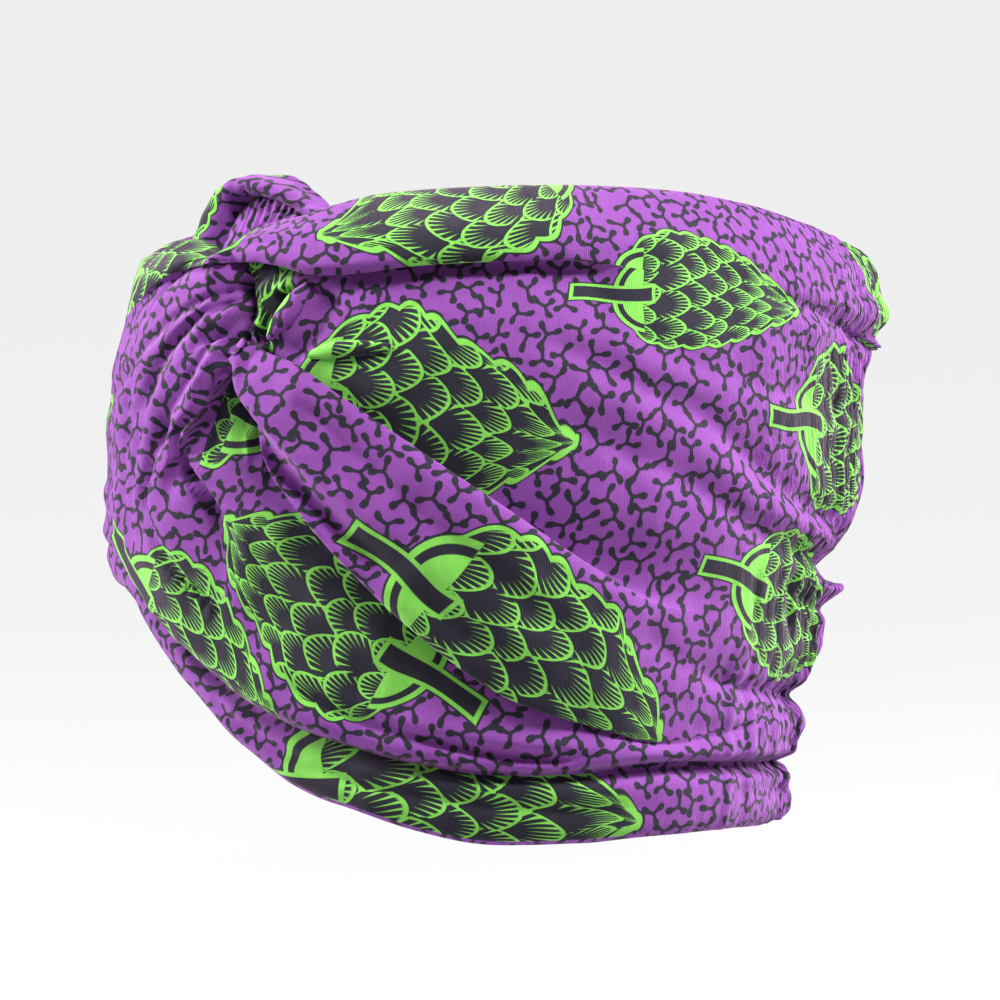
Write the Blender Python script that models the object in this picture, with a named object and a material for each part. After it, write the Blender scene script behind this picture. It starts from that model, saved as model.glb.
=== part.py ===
"""Wide twist headband, in the shape it has when worn. Front is -Y, the wearer's left is +X and up is +Z, in metres.

The band is one sheet. At every angle round the head its section runs up the outside through five panels with a folded
crease between each two, over the top edge, and down the inside. At the twist, cloth folded into a loop arches over the
top edge, with a core of cloth in its hollow, and a small tuck and a pleat lie on the band below it.
"""

import bpy
import numpy as np

MM = 0.001
ROUGHNESS = 0.85

# Half of the band's outside, across and from front to back, where it is fullest
HALF_ACROSS = 79.0
HALF_DEEP = 99.0
# Thickness of the double cloth, and the radius of its folded edges
CLOTH = 2.4
EDGE_ROUND = 1.1
# The outside is never pressed closer to the inside than this
THIN = 1.4
# How far a panel runs on behind the lip of the one that covers it, and how far the lip stands off the panel
TUCK = 2.6
LIP = 5.2
HEM_LIP = 3.4
# A folded crease: how far its lip runs past its height, how far back its fold turns, and how far its covered panel
# stays under the lip's inner face. An open crease, of strength 0, spreads its points by the last number.
LIP_PAST = 1.0
LIP_TURN = 0.5
LIP_BACK = 0.6
UNDER_CLEAR = 0.25
OPEN_SPREAD = 1.2
# How far out of the form the edges lie, and the hem's panel and the one above it where they meet
EDGE_OUT = 0.7
HEM_PANEL_OUT = -0.8
HEM_COVER_OUT = 1.2
# How far the hem, the lower panel and the middle panel swell out between their creases
HEM_SWELL = 1.2
LOWER_SWELL = 0.8
MIDDLE_SWELL = 0.6
# The share of the fan's rise that is left at the top edge
FAN_AT_TOP = 0.3
# How far the form draws in from the fullest line, by height, at the front, the sides and the back
FORM_HEIGHT = (-90, -70, -50, -30, -10, 5, 20, 35, 50, 60, 70, 78, 86, 95)
FORM_INSET = {
    "front": (15, 13, 11, 8.2, 4, 1.9, 1.2, 2.8, 6.2, 9, 14, 19, 25, 34),
    "side": (8, 4, 2, 0.5, 0, 0, 1, 2, 5, 9, 14, 20, 29, 42),
    "back": (33, 31.5, 29, 21.5, 15.5, 8.8, 8, 6, 2, 3.5, 9, 15, 22, 32),
}

# Heights of the edges and creases, by angle from the front toward the wearer's left
EDGE_COLUMNS = ("angle", "bottom", "hem", "sash_low", "sash_top", "roll", "top")
EDGES = (
    (-150, -72, -58, -33, -6, 47, 70),
    (-120, -71, -56, -28, 3, 52, 75),
    (-90, -66, -50, -20, 12, 55, 77),
    (-60, -48, -34, -6, 21, 54, 75),
    (-40, -31, -17, 5, 27, 52, 71),
    (-25, -20, -8, 11, 31, 51, 68),
    (-12, -15, -4, 13, 32, 50, 65),
    (4, -16, -8.5, 13, 33, 54, 65),
    (13, -26, -17, 11, 34, 58, 68.6),
    (20, -34, -24, 11, 35, 61.5, 68.8),
    (25, -39, -29, 14, 37, 63, 67.5),
    (30, -44, -33, 21, 41, 63.8, 65.6),
    (34, -48, -36.5, 32, 45, 64.6, 71),
    (38, -51.5, -39.5, 38, 46.5, 65, 73),
    (44, -57, -44, 20, 43, 64.2, 74.6),
    (50, -61, -47, 7, 39.5, 62, 77),
    (57, -64, -50, -6, 32, 62.3, 79.4),
    (65, -68, -53, -19, 23, 64, 80.6),
    (78, -72, -56, -36, 8, 65, 81.6),
    (90, -72, -56, -44, -6, 65, 82),
    (102, -71, -54, -49, -17, 63, 81.6),
    (115, -71, -55, -47, -19, 60, 80.4),
    (130, -72, -57, -43, -17, 55, 77),
    (145, -72, -58, -39, -16, 49, 72),
    (165, -73, -58, -37, -16, 43, 66.5),
    (180, -73, -58, -36, -15, 42, 66),
)

# How strongly each crease folds over, from 0 to 1, how far the front fan stands out as a share of its rise, and how
# far the sash and the top roll swell, by angle
FOLD_COLUMNS = ("angle", "hem", "sash_low", "sash_top", "roll", "fan", "sash_swell", "roll_swell")
FOLDS = (
    (-150, 0.5, 0.1, 0.15, 0.15, 0, 0, 1),
    (-90, 0.6, 0.15, 0.3, 0.25, 0, 0.5, 1.5),
    (-50, 0.7, 0.15, 0.3, 0.3, 0, 0.5, 1.5),
    (-30, 0.8, 0, 0.1, 0.1, 0, 0.3, 0.5),
    (-12, 0.8, 0, 0, 0, 0, 0, 0),
    (5, 0.9, 0, 0, 0.1, 0.1, 0, 0.5),
    (14, 1, 0, 0, 0.25, 0.4, 0, 1.5),
    (24, 1, 0, 0, 0.35, 0.8, 0, 1.5),
    (31, 1, 0.5, 0, 0.4, 1, 0.5, 1.5),
    (36, 1, 1, 0.6, 0.9, 1, 1, 2),
    (42, 1, 1, 1, 1, 1, 1.2, 2.6),
    (48, 1, 1, 1, 1, 1, 1.2, 3),
    (70, 1, 1, 1, 1, 0, 1.5, 3),
    (86, 1, 0.8, 0.8, 0.5, 0, 1.2, 2.5),
    (96, 1, 0.35, 0.45, 0.15, 0, 0.6, 2),
    (106, 1, 0, 0.1, 0, 0, 0, 1.5),
    (138, 1, 0, 0.03, 0.1, 0, 0, 1),
    (160, 0.8, 0.1, 0.4, 0.4, 0, 0, 0.8),
    (180, 0.6, 0.1, 0.3, 0.3, 0, 0, 0.8),
)
# The angle of the fan's edge at the twist, by height, and how many degrees it takes to fall away there
FAN_EDGE = ((20, 33), (38, 36), (45, 40.4), (51, 40), (57, 39), (63, 36.2), (66, 31), (72, 27))
FAN_FALL = 2.6
# How far the front fan stands out where it leaves the twist
FAN_RISE = 6.5

# Gathers at the nape: middle, half width and pitch by angle, and their depth
NAPE_MIDDLE = 180.0
NAPE_HALF = 62.0
NAPE_PITCH = 10.0
NAPE_DEPTH = 0.9

# Angles of the sections: close together where the folds show, wider apart round the far side
CLOSE_STEP = 3.2
CLOSE_FROM = -24.0
CLOSE_COUNT = 47
WIDE_COUNT = 41
# Points up each panel and down the inside
PANEL_POINTS = (3, 3, 3, 3, 4)
INSIDE_POINTS = 7

# Furrows pressed into the outside: both ends by angle and height, depth and half width
FURROW_COLUMNS = ("angle_a", "height_a", "angle_b", "height_b", "deep", "half")
FURROWS = (
    (38.0, 58.0, 13.0, 53.0, 2.4, 2.6),
    (38.0, 54.5, 17.0, 42.0, 2.2, 2.8),
    (38.0, 47.5, 22.0, 26.0, 1.6, 2.8),
    (43.0, 27.0, 59.0, -3.0, 1.8, 2.4),
    (128.0, 50.0, 165.0, 36.0, 2.0, 4.0),
    (128.0, 8.0, 168.0, -8.0, 2.4, 5.0),
)
# Millimetres to one degree round the head
DEGREE_RUN = 1.55

# The loop is cloth folded over this centre line, which runs from its foot behind the fan over the top and down
# behind the top roll
STRIP_COLUMNS = ("angle", "height", "out", "half_wide", "half_thick", "leg")
LOOP_PATH = (
    (17.4, 58.0, -6.4, 3.0, 3.2, 1.0),
    (16.0, 63.5, -6.9, 3.8, 3.6, 2.0),
    (15.2, 68.5, -7.2, 4.4, 4.0, 3.0),
    (15.8, 73.6, -6.8, 4.6, 4.6, 5.0),
    (17.6, 78.2, -6.0, 4.0, 5.4, 7.0),
    (21.0, 81.6, -5.4, 3.1, 6.0, 8.0),
    (26.6, 83.0, -5.4, 2.7, 6.0, 8.0),
    (33.4, 81.8, -6.2, 2.4, 5.4, 7.0),
    (38.9, 79.6, -7.5, 2.2, 4.6, 5.0),
    (43.4, 76.8, -8.8, 2.2, 4.2, 4.0),
    (46.4, 73.0, -8.0, 2.2, 3.8, 2.0),
    (48.6, 67.0, -6.6, 2.2, 3.2, 1.0),
)
LOOP_SECTIONS = 26
LOOP_ARC_POINTS = 7
LOOP_WALL = 1.4

# The cloth that closes the hollow under the loop: its ends by angle, its foot, and how far out it lies
CORE_ANGLES = (23.6, 42.6)
CORE_FOOT = 56.0
CORE_TOP = ((23.6, 76.9), (26.5, 78.6), (33, 77.8), (39, 75.6), (42.6, 73.0))
CORE_OUT = -3.35
CORE_BULGE = 0.8
CORE_SECTIONS = 12
CORE_POINTS = 7

# Two small folds on the middle panel: the one drawn into the twist, and the pleat beside the sash
TUCK_PATH = (
    (43.8, 47.0, 1.1, 0.9, 0.9, 0.0),
    (45.2, 49.5, 2.3, 2.0, 1.8, 0.4),
    (46.8, 52.5, 2.7, 2.4, 2.0, 0.6),
    (48.0, 56.0, 2.3, 2.1, 1.8, 0.4),
    (48.6, 58.6, 1.3, 1.0, 1.0, 0.0),
)
PLEAT_PATH = (
    (50.6, 43.0, 1.3, 0.9, 0.9, 0.0),
    (54.0, 44.0, 2.1, 1.6, 1.5, 0.2),
    (58.0, 44.6, 2.2, 1.6, 1.5, 0.2),
    (62.5, 45.4, 1.3, 0.9, 0.9, 0.0),
)
TUCK_SECTIONS = 12
TUCK_ARC_POINTS = 5

# The share of the mean slope that a curve keeps where it turns back
TURN_SLOPE = 0.3


def hermite(knots, values, at):
    """A smooth curve through the values: cubic pieces whose slope at a knot is the mean slope beside it.

    Where the values turn back at a knot the slope there is held down, so that the curve hardly overshoots.
    """
    knots, values, at = (np.asarray(a, float) for a in (knots, values, at))
    slope = np.diff(values) / np.diff(knots)
    inner = (slope[1:] + slope[:-1]) / 2
    inner = np.where(slope[1:] * slope[:-1] > 0, inner, TURN_SLOPE * inner)
    tangent = np.concatenate([slope[:1], inner, slope[-1:]])
    i = np.clip(np.searchsorted(knots, at) - 1, 0, len(knots) - 2)
    gap = knots[i + 1] - knots[i]
    s = np.clip((at - knots[i]) / gap, 0, 1)
    rest = 1 - s
    return (
        values[i] * (1 + 2 * s) * rest**2
        + values[i + 1] * (3 - 2 * s) * s**2
        + gap * (tangent[i] * s * rest**2 - tangent[i + 1] * s**2 * rest)
    )


def round_head(rows, columns, name, angle):
    """The named column of a table by angle, taken round the head without a seam."""
    rows = np.array(rows, float)
    at, value = rows[:, 0], rows[:, columns.index(name)]
    knots = np.concatenate([at[-3:] - 360, at, at[:3] + 360])
    return hermite(knots, np.concatenate([value[-3:], value, value[:3]]), angle)


def edge(name, angle):
    return round_head(EDGES, EDGE_COLUMNS, name, angle)


def fold(name, angle):
    return round_head(FOLDS, FOLD_COLUMNS, name, angle)


def inset(angle, height):
    """How far the form is drawn in: the front, side and back columns mixed by the square of the angle's cosine."""
    c = np.cos(np.radians(angle))
    share = {"front": np.clip(c, 0, 1) ** 2, "back": np.clip(-c, 0, 1) ** 2}
    share["side"] = 1 - share["front"] - share["back"]
    return sum(share[k] * hermite(FORM_HEIGHT, FORM_INSET[k], height) for k in share)


def on_form(angle, height, out):
    """Points in mm at an angle and a height, standing out from the form along the plan ellipse's normal."""
    a = np.radians(angle)
    nx, ny = np.sin(a) / HALF_ACROSS, -np.cos(a) / HALF_DEEP
    reach = (out - inset(angle, height)) / np.hypot(nx, ny)
    x = HALF_ACROSS * np.sin(a) + reach * nx
    y = -HALF_DEEP * np.cos(a) + reach * ny
    return np.stack([x, y, height + 0 * x], -1)


def fan_share(angle, height):
    """The share of the fan's rise at a point: it falls from 1 to 0 across the fan's edge at the twist."""
    at, turn = np.array(FAN_EDGE, float).T
    past = (angle - hermite(at, turn, height)) / FAN_FALL
    past = np.clip(past + 0.5, 0, 1)
    return fold("fan", angle) * (1 - past**2 * (3 - 2 * past))


def furrow_depth(angle, height):
    """How deep the furrows press in at a point: each is a rounded trough along a straight run, tapered to its ends."""
    total = 0 * angle
    for row in FURROWS:
        f = dict(zip(FURROW_COLUMNS, row))
        run = (f["angle_b"] - f["angle_a"]) * DEGREE_RUN
        rise = f["height_b"] - f["height_a"]
        x = (angle - f["angle_a"]) * DEGREE_RUN
        y = height - f["height_a"]
        share = (x * run + y * rise) / (run**2 + rise**2)
        away = (y * run - x * rise) / np.hypot(run, rise)
        taper = np.sin(np.pi * np.clip(share, 0, 1)) ** 0.6
        total = total + f["deep"] * taper * np.exp(-((away / f["half"]) ** 2))
    return total


def crease(height, low, high, strength, lip, upper_covers):
    """Section points across one crease, from the panel below it to the panel above, as (out, height) pairs.

    The covered panel runs on behind the lip. At strength 0 the points close up into a plain line.
    """
    way = 1 if upper_covers else -1
    under, over = (low, high) if upper_covers else (high, low)
    over = np.maximum(over, under + strength * lip)
    back = np.maximum(over - CLOTH * strength, under + UNDER_CLEAR * strength)
    spread = OPEN_SPREAD * (1 - strength)
    points = [
        (under, height + way * (TUCK * strength - spread)),
        (back, height + way * (LIP_BACK * strength - spread / 3)),
        ((over + back) / 2, height - way * (LIP_TURN * strength - spread / 3)),
        (over, height + way * (LIP_PAST * strength + spread)),
    ]
    return points if upper_covers else points[::-1]


def panel(start, end, swell, count):
    """Section points between two creases: a straight run with a swell that is fullest at the middle."""
    share = np.arange(1, count + 1) / (count + 1)
    return [
        (
            start[0] + (end[0] - start[0]) * s + swell * np.sin(np.pi * s),
            start[1] + (end[1] - start[1]) * s,
        )
        for s in share
    ]


def band_section(angle):
    """The closed section of the band at each angle: the outside going up, the top edge, then the inside."""
    z = {name: edge(name, angle) for name in EDGE_COLUMNS[1:]}
    f = {name: fold(name, angle) for name in FOLD_COLUMNS[1:]}
    fan = {name: FAN_RISE * fan_share(angle, z[name]) for name in z}
    zero = 0 * angle
    low_fan = fan["sash_low"] * (1 - f["sash_low"])
    creases = [
        crease(z["hem"], zero + HEM_PANEL_OUT, zero + HEM_COVER_OUT, f["hem"], HEM_LIP, True),
        crease(z["sash_low"], low_fan, fan["sash_low"], f["sash_low"], LIP, True),
        crease(z["sash_top"], fan["sash_top"], fan["sash_top"], f["sash_top"], LIP, False),
        crease(z["roll"], fan["roll"], fan["roll"], f["roll"], LIP, True),
    ]
    bottom = (zero + EDGE_OUT, z["bottom"])
    top = (FAN_AT_TOP * fan["top"] + EDGE_OUT, z["top"])
    starts = [bottom] + [c[-1] for c in creases]
    ends = [c[0] for c in creases] + [top]
    swells = (HEM_SWELL, LOWER_SWELL, f["sash_swell"], MIDDLE_SWELL, f["roll_swell"])
    outside = [bottom]
    for k, count in enumerate(PANEL_POINTS):
        outside += panel(starts[k], ends[k], swells[k], count)
        if k < len(creases):
            outside += creases[k]
    outside.append(top)
    lining = zero - CLOTH
    inner_top = (lining + FAN_AT_TOP * fan["top"], z["top"])
    inner_bottom = (lining, z["bottom"])
    rim = [((top[0] + inner_top[0]) / 2, z["top"] + EDGE_ROUND)]
    foot = [((bottom[0] + inner_bottom[0]) / 2, z["bottom"] - EDGE_ROUND)]
    inside = [inner_top] + panel(inner_top, inner_bottom, zero, INSIDE_POINTS) + [inner_bottom]
    section = outside + rim + inside + foot
    out = np.stack([p[0] + zero for p in section])
    height = np.stack([p[1] + zero for p in section])
    pressed = np.zeros(out.shape)
    pressed[: len(outside)] = furrow_depth(angle + 0 * height[: len(outside)], height[: len(outside)])
    return np.maximum(out - pressed, np.minimum(out, THIN - CLOTH)), height


def nape_gathers(angle):
    """The ribs that the gathered cloth makes at the nape, deepest at the middle of the back."""
    away = np.abs((angle - NAPE_MIDDLE + 180) % 360 - 180)
    share = np.clip(1 - away / NAPE_HALF, 0, 1)
    return NAPE_DEPTH * share * np.cos(2 * np.pi * angle / NAPE_PITCH)


def add_mesh(name, points, faces, colour, roughness):
    mesh = bpy.data.meshes.new(name)
    mesh.from_pydata((points * MM).tolist(), [], faces.tolist())
    mesh.validate()
    mesh.polygons.foreach_set("use_smooth", [True] * len(mesh.polygons))
    obj = bpy.data.objects.new(name, mesh)
    bpy.context.scene.collection.objects.link(obj)
    material = bpy.data.materials.new(name + "_cloth")
    material.use_nodes = True
    shader = material.node_tree.nodes["Principled BSDF"]
    shader.inputs["Base Color"].default_value = (*colour, 1)
    shader.inputs["Roughness"].default_value = roughness
    mesh.materials.append(material)


def skin(grid, ring_closed):
    """Triangles over a grid of (section, point): points close into a ring, and so do sections when asked."""
    sections, around = grid.shape[:2]
    i = np.arange(sections if ring_closed else sections - 1)[:, None]
    j = np.arange(around)[None, :]
    i2, j2 = (i + 1) % sections, (j + 1) % around
    a, b = i * around + j, i2 * around + j
    c, d = i2 * around + j2, i * around + j2
    faces = np.stack([np.stack([a, b, c], -1), np.stack([a, c, d], -1)]).reshape(-1, 3)
    points = grid.reshape(-1, 3)
    if ring_closed:
        return points, faces
    middles = np.stack([grid[0].mean(0), grid[-1].mean(0)])
    j = np.arange(around)
    first = np.stack([np.full(around, len(points)), j, (j + 1) % around], -1)
    last_row = (sections - 1) * around
    last = np.stack([np.full(around, len(points) + 1), last_row + (j + 1) % around, last_row + j], -1)
    return np.concatenate([points, middles]), np.concatenate([faces, first, last])


def outward(points, faces):
    """The faces, all turned round if they enclose a negative volume."""
    volume = np.linalg.det(points[faces]).sum()
    return faces if volume > 0 else faces[:, ::-1]


def folded_strip(rows, sections, arc_points, wall):
    """A strip of cloth folded lengthwise over a centre line, as a grid of sections.

    Each section is an arch on two straight legs. With a wall it is open toward the head: the section runs round the
    outside, then back along the inside. With no wall the fold is pressed together and filled with cloth.
    """
    rows = np.array(rows, float)
    at = np.linspace(0, len(rows) - 1, sections)
    v = {name: hermite(np.arange(len(rows)), rows[:, k], at)[:, None] for k, name in enumerate(STRIP_COLUMNS)}
    middle = on_form(v["angle"][:, 0], v["height"][:, 0], v["out"][:, 0])
    along = np.gradient(middle, axis=0)
    along /= np.linalg.norm(along, axis=1)[:, None]
    crown = middle * [1 / HALF_ACROSS**2, 1 / HALF_DEEP**2, 0]
    crown -= (crown * along).sum(1)[:, None] * along
    crown /= np.linalg.norm(crown, axis=1)[:, None]
    side = np.cross(along, crown)
    arc = np.radians(np.linspace(0, 180, arc_points))[None, :]
    parts = []
    for less, order in ((0, 1), (wall, -1)) if wall else ((0, 1),):
        across = (v["half_wide"] - less) * np.cos(arc)
        high = (v["half_thick"] - less) * np.sin(arc)
        across = np.concatenate([across[:, :1], across, across[:, -1:]], axis=1)
        high = np.concatenate([-v["leg"], high, -v["leg"]], axis=1)
        parts.append((across[:, ::order], high[:, ::order]))
    across = np.concatenate([p[0] for p in parts], axis=1)
    high = np.concatenate([p[1] for p in parts], axis=1)
    return middle[:, None] + across[..., None] * side[:, None] + high[..., None] * crown[:, None]


def core_panel():
    """The gathered cloth under the loop, as a grid of closed sections from one side of the loop to the other."""
    angle = np.linspace(*CORE_ANGLES, CORE_SECTIONS)
    at, tops = np.array(CORE_TOP, float).T
    top = hermite(at, tops, angle)
    share = np.linspace(0, 1, CORE_POINTS)[:, None]
    height = CORE_FOOT + (top - CORE_FOOT) * share
    across = np.sin(np.pi * (angle - CORE_ANGLES[0]) / (CORE_ANGLES[1] - CORE_ANGLES[0]))
    face = CORE_OUT - CORE_BULGE * (1 - across) + 0 * height
    edge_out = face[-1] - CLOTH / 2
    foot_out = face[0] - CLOTH / 2
    out = np.concatenate([face, edge_out[None], face[::-1] - CLOTH, foot_out[None]])
    tall = np.concatenate([height, (top + EDGE_ROUND)[None], height[::-1], (height[0] - EDGE_ROUND)[None]])
    return on_form(angle[None, :], tall, out).transpose(1, 0, 2)


for old in list(bpy.data.objects):
    bpy.data.objects.remove(old, do_unlink=True)

close = CLOSE_FROM + CLOSE_STEP * np.arange(CLOSE_COUNT)
wide_span = 360 - CLOSE_STEP * (CLOSE_COUNT - 1)
wide = close[-1] + wide_span * np.arange(1, WIDE_COUNT) / WIDE_COUNT
angles = np.concatenate([close, wide])
angles = (angles + 180) % 360 - 180
out, height = band_section(angles)
band = on_form(angles[None, :], height, out + nape_gathers(angles)[None, :])
points, faces = skin(band.transpose(1, 0, 2), True)
add_mesh("band", points, outward(points, faces), (0.36, 0.09, 0.52), ROUGHNESS)

loop = folded_strip(LOOP_PATH, LOOP_SECTIONS, LOOP_ARC_POINTS, LOOP_WALL)
tuck = folded_strip(TUCK_PATH, TUCK_SECTIONS, TUCK_ARC_POINTS, None)
pleat = folded_strip(PLEAT_PATH, TUCK_SECTIONS, TUCK_ARC_POINTS, None)
SOLIDS = (
    ("twist_loop", loop, (0.40, 0.11, 0.56)),
    ("twist_core", core_panel(), (0.28, 0.06, 0.42)),
    ("twist_tuck", tuck, (0.34, 0.08, 0.50)),
    ("side_pleat", pleat, (0.38, 0.10, 0.54)),
)
for name, grid, colour in SOLIDS:
    points, faces = skin(grid, False)
    add_mesh(name, points, outward(points, faces), colour, ROUGHNESS)
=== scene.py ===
# %% [markdown]
# # A wide headband with a twist, in printed stretch cloth
#
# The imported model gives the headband's solids: the band, and the loop, core, tuck and pleat of its twist.
# This script makes each of them again as fine cloth, from the same forms, prints the cloth with shader
# nodes, and lights it as in a plain studio. Front is -Y, the wearer's left is +X and up is +Z. The tables
# are in millimetres and degrees.

import bmesh
import bpy
import numpy as np
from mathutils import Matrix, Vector


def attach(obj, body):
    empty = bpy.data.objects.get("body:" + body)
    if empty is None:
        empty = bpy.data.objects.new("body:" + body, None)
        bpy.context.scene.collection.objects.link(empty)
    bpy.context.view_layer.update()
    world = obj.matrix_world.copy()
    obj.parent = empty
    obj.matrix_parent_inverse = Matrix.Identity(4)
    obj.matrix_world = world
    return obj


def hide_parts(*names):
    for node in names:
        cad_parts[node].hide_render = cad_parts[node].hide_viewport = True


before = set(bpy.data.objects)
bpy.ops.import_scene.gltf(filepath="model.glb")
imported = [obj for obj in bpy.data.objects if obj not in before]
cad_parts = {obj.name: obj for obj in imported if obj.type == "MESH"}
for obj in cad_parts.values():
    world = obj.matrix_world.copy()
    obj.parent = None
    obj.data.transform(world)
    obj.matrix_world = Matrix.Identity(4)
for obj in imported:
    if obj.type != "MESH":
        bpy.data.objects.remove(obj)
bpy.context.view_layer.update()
MM = 0.001


def add_object(name, data):
    """A new object of this data, in the scene."""
    thing = bpy.data.objects.new(name, data)
    bpy.context.scene.collection.objects.link(thing)
    return thing


print("nodes:", sorted(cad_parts))

# %% [markdown]
# ## The camera
#
# The picture looks at the wearer's left side, a little from the front and from just above. The camera
# stands 1.3 m off with a long lens, so that four pixels of a 1000 pixel picture are one millimetre at the
# middle of the head. A small shift of the lens puts the headband where it is in the picture without turning
# the camera.

# %% Camera
CAMERA_AZIMUTH = 75.0
CAMERA_HEIGHT_ANGLE = 3.0
CAMERA_DISTANCE = 1.3
SENSOR = 36.0
LENS = 187.2
CAMERA_SHIFT = (0.0035, 0.020)

azimuth, rise = np.radians(CAMERA_AZIMUTH), np.radians(CAMERA_HEIGHT_ANGLE)
toward = Vector((np.sin(azimuth) * np.cos(rise), -np.cos(azimuth) * np.cos(rise), np.sin(rise)))
camera = add_object("camera", bpy.data.cameras.new("camera"))
camera.data.sensor_width = SENSOR
camera.data.lens = LENS
camera.data.shift_x, camera.data.shift_y = CAMERA_SHIFT
camera.location = toward * CAMERA_DISTANCE
camera.rotation_euler = toward.to_track_quat("Z", "Y").to_euler()
bpy.context.scene.camera = camera
print("camera at", [round(c, 3) for c in camera.location])

# %% [markdown]
# ## The head form
#
# A headband takes its shape from the head that it is stretched over. Its plan is close to an ellipse, and
# going up or down from the fullest line the form draws in, differently at the front, the sides and the
# back. Every point of the cloth is then given by three numbers: an angle from the front toward the wearer's
# left, a height, and how far it stands out from the form. That makes folds easy to write, because a fold is
# only a change of the third number.

# %% The form
HALF_ACROSS = 79.0
HALF_DEEP = 99.0
FORM_HEIGHT = (-90, -70, -50, -30, -10, 5, 20, 35, 50, 60, 70, 78, 86, 95)
FORM_INSET = {
    "front": (15, 13, 11, 8.2, 4, 1.9, 1.2, 2.8, 6.2, 9, 14, 19, 25, 34),
    "side": (8, 4, 2, 0.5, 0, 0, 1, 2, 5, 9, 14, 20, 29, 42),
    "back": (33, 31.5, 29, 21.5, 15.5, 8.8, 8, 6, 2, 3.5, 9, 15, 22, 32),
}
# The share of the mean slope that a curve keeps where it turns back
TURN_SLOPE = 0.3


def cubic_piece(s, start, end, slope_start, slope_end, gap):
    """The cubic between two values that are a gap apart, with its slope at both, at a share s of the way."""
    rest = 1 - s
    return (
        start * (1 + 2 * s) * rest**2
        + end * (3 - 2 * s) * s**2
        + gap * (slope_start * s * rest**2 - slope_end * s**2 * rest)
    )


def smooth_curve(knots, values, at):
    """A smooth curve through the values: cubic pieces whose slope at a knot is the mean slope beside it."""
    knots, values, at = (np.asarray(a, float) for a in (knots, values, at))
    slope = np.diff(values) / np.diff(knots)
    inner = (slope[1:] + slope[:-1]) / 2
    inner = np.where(slope[1:] * slope[:-1] > 0, inner, TURN_SLOPE * inner)
    tangent = np.concatenate([slope[:1], inner, slope[-1:]])
    i = np.clip(np.searchsorted(knots, at) - 1, 0, len(knots) - 2)
    gap = knots[i + 1] - knots[i]
    s = np.clip((at - knots[i]) / gap, 0, 1)
    return cubic_piece(s, values[i], values[i + 1], tangent[i], tangent[i + 1], gap)


def inset(angle, height):
    """How far the form is drawn in: front, side and back mixed by the square of the angle's cosine."""
    c = np.cos(np.radians(angle))
    share = {"front": np.clip(c, 0, 1) ** 2, "back": np.clip(-c, 0, 1) ** 2}
    share["side"] = 1 - share["front"] - share["back"]
    return sum(share[k] * smooth_curve(FORM_HEIGHT, FORM_INSET[k], height) for k in share)


def on_form(angle, height, out):
    """Points in mm at an angle and a height, standing out from the form along the plan ellipse's normal."""
    a = np.radians(angle)
    nx, ny = np.sin(a) / HALF_ACROSS, -np.cos(a) / HALF_DEEP
    reach = (out - inset(angle, height)) / np.hypot(nx, ny)
    x = HALF_ACROSS * np.sin(a) + reach * nx
    y = -HALF_DEEP * np.cos(a) + reach * ny
    return np.stack([x, y, height + 0 * x], -1)


print("the form is", 2 * HALF_ACROSS, "by", 2 * HALF_DEEP, "mm at its fullest")

# %% [markdown]
# ## Where the edges and creases run
#
# The real band is one doubled tube of jersey, twisted on itself over the temple, so that its cloth lies
# round the head in five panels. From the bottom they are the hem, the lower panel, the sash that runs down
# and back from the twist, the middle panel and the rolled top. Each line between two panels is a row of
# heights, by angle, and each crease has a strength by angle, because it starts sharp at the twist and dies
# away toward the nape.

# %% Edges and creases
EDGE_COLUMNS = ("angle", "bottom", "hem", "sash_low", "sash_top", "roll", "top")
EDGES = (
    (-150, -72, -58, -33, -6, 47, 70),
    (-120, -71, -56, -28, 3, 52, 75),
    (-90, -66, -50, -20, 12, 55, 77),
    (-60, -48, -34, -6, 21, 54, 75),
    (-40, -31, -17, 5, 27, 52, 71),
    (-25, -20, -8, 11, 31, 51, 68),
    (-12, -15, -4, 13, 32, 50, 65),
    (4, -16, -8.5, 13, 33, 54, 65),
    (13, -26, -17, 11, 34, 58, 68.6),
    (20, -34, -24, 11, 35, 61.5, 68.8),
    (25, -39, -29, 14, 37, 63, 67.5),
    (30, -44, -33, 21, 41, 63.8, 65.6),
    (34, -48, -36.5, 32, 45, 64.6, 71),
    (38, -51.5, -39.5, 38, 46.5, 65, 73),
    (44, -57, -44, 20, 43, 64.2, 74.6),
    (50, -61, -47, 7, 39.5, 62, 77),
    (57, -64, -50, -6, 32, 62.3, 79.4),
    (65, -68, -53, -19, 23, 64, 80.6),
    (78, -72, -56, -36, 8, 65, 81.6),
    (90, -72, -56, -44, -6, 65, 82),
    (102, -71, -54, -49, -17, 63, 81.6),
    (115, -71, -55, -47, -19, 60, 80.4),
    (130, -72, -57, -43, -17, 55, 77),
    (145, -72, -58, -39, -16, 49, 72),
    (165, -73, -58, -37, -16, 43, 66.5),
    (180, -73, -58, -36, -15, 42, 66),
)
FOLD_COLUMNS = ("angle", "hem", "sash_low", "sash_top", "roll", "fan", "sash_swell", "roll_swell")
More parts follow.
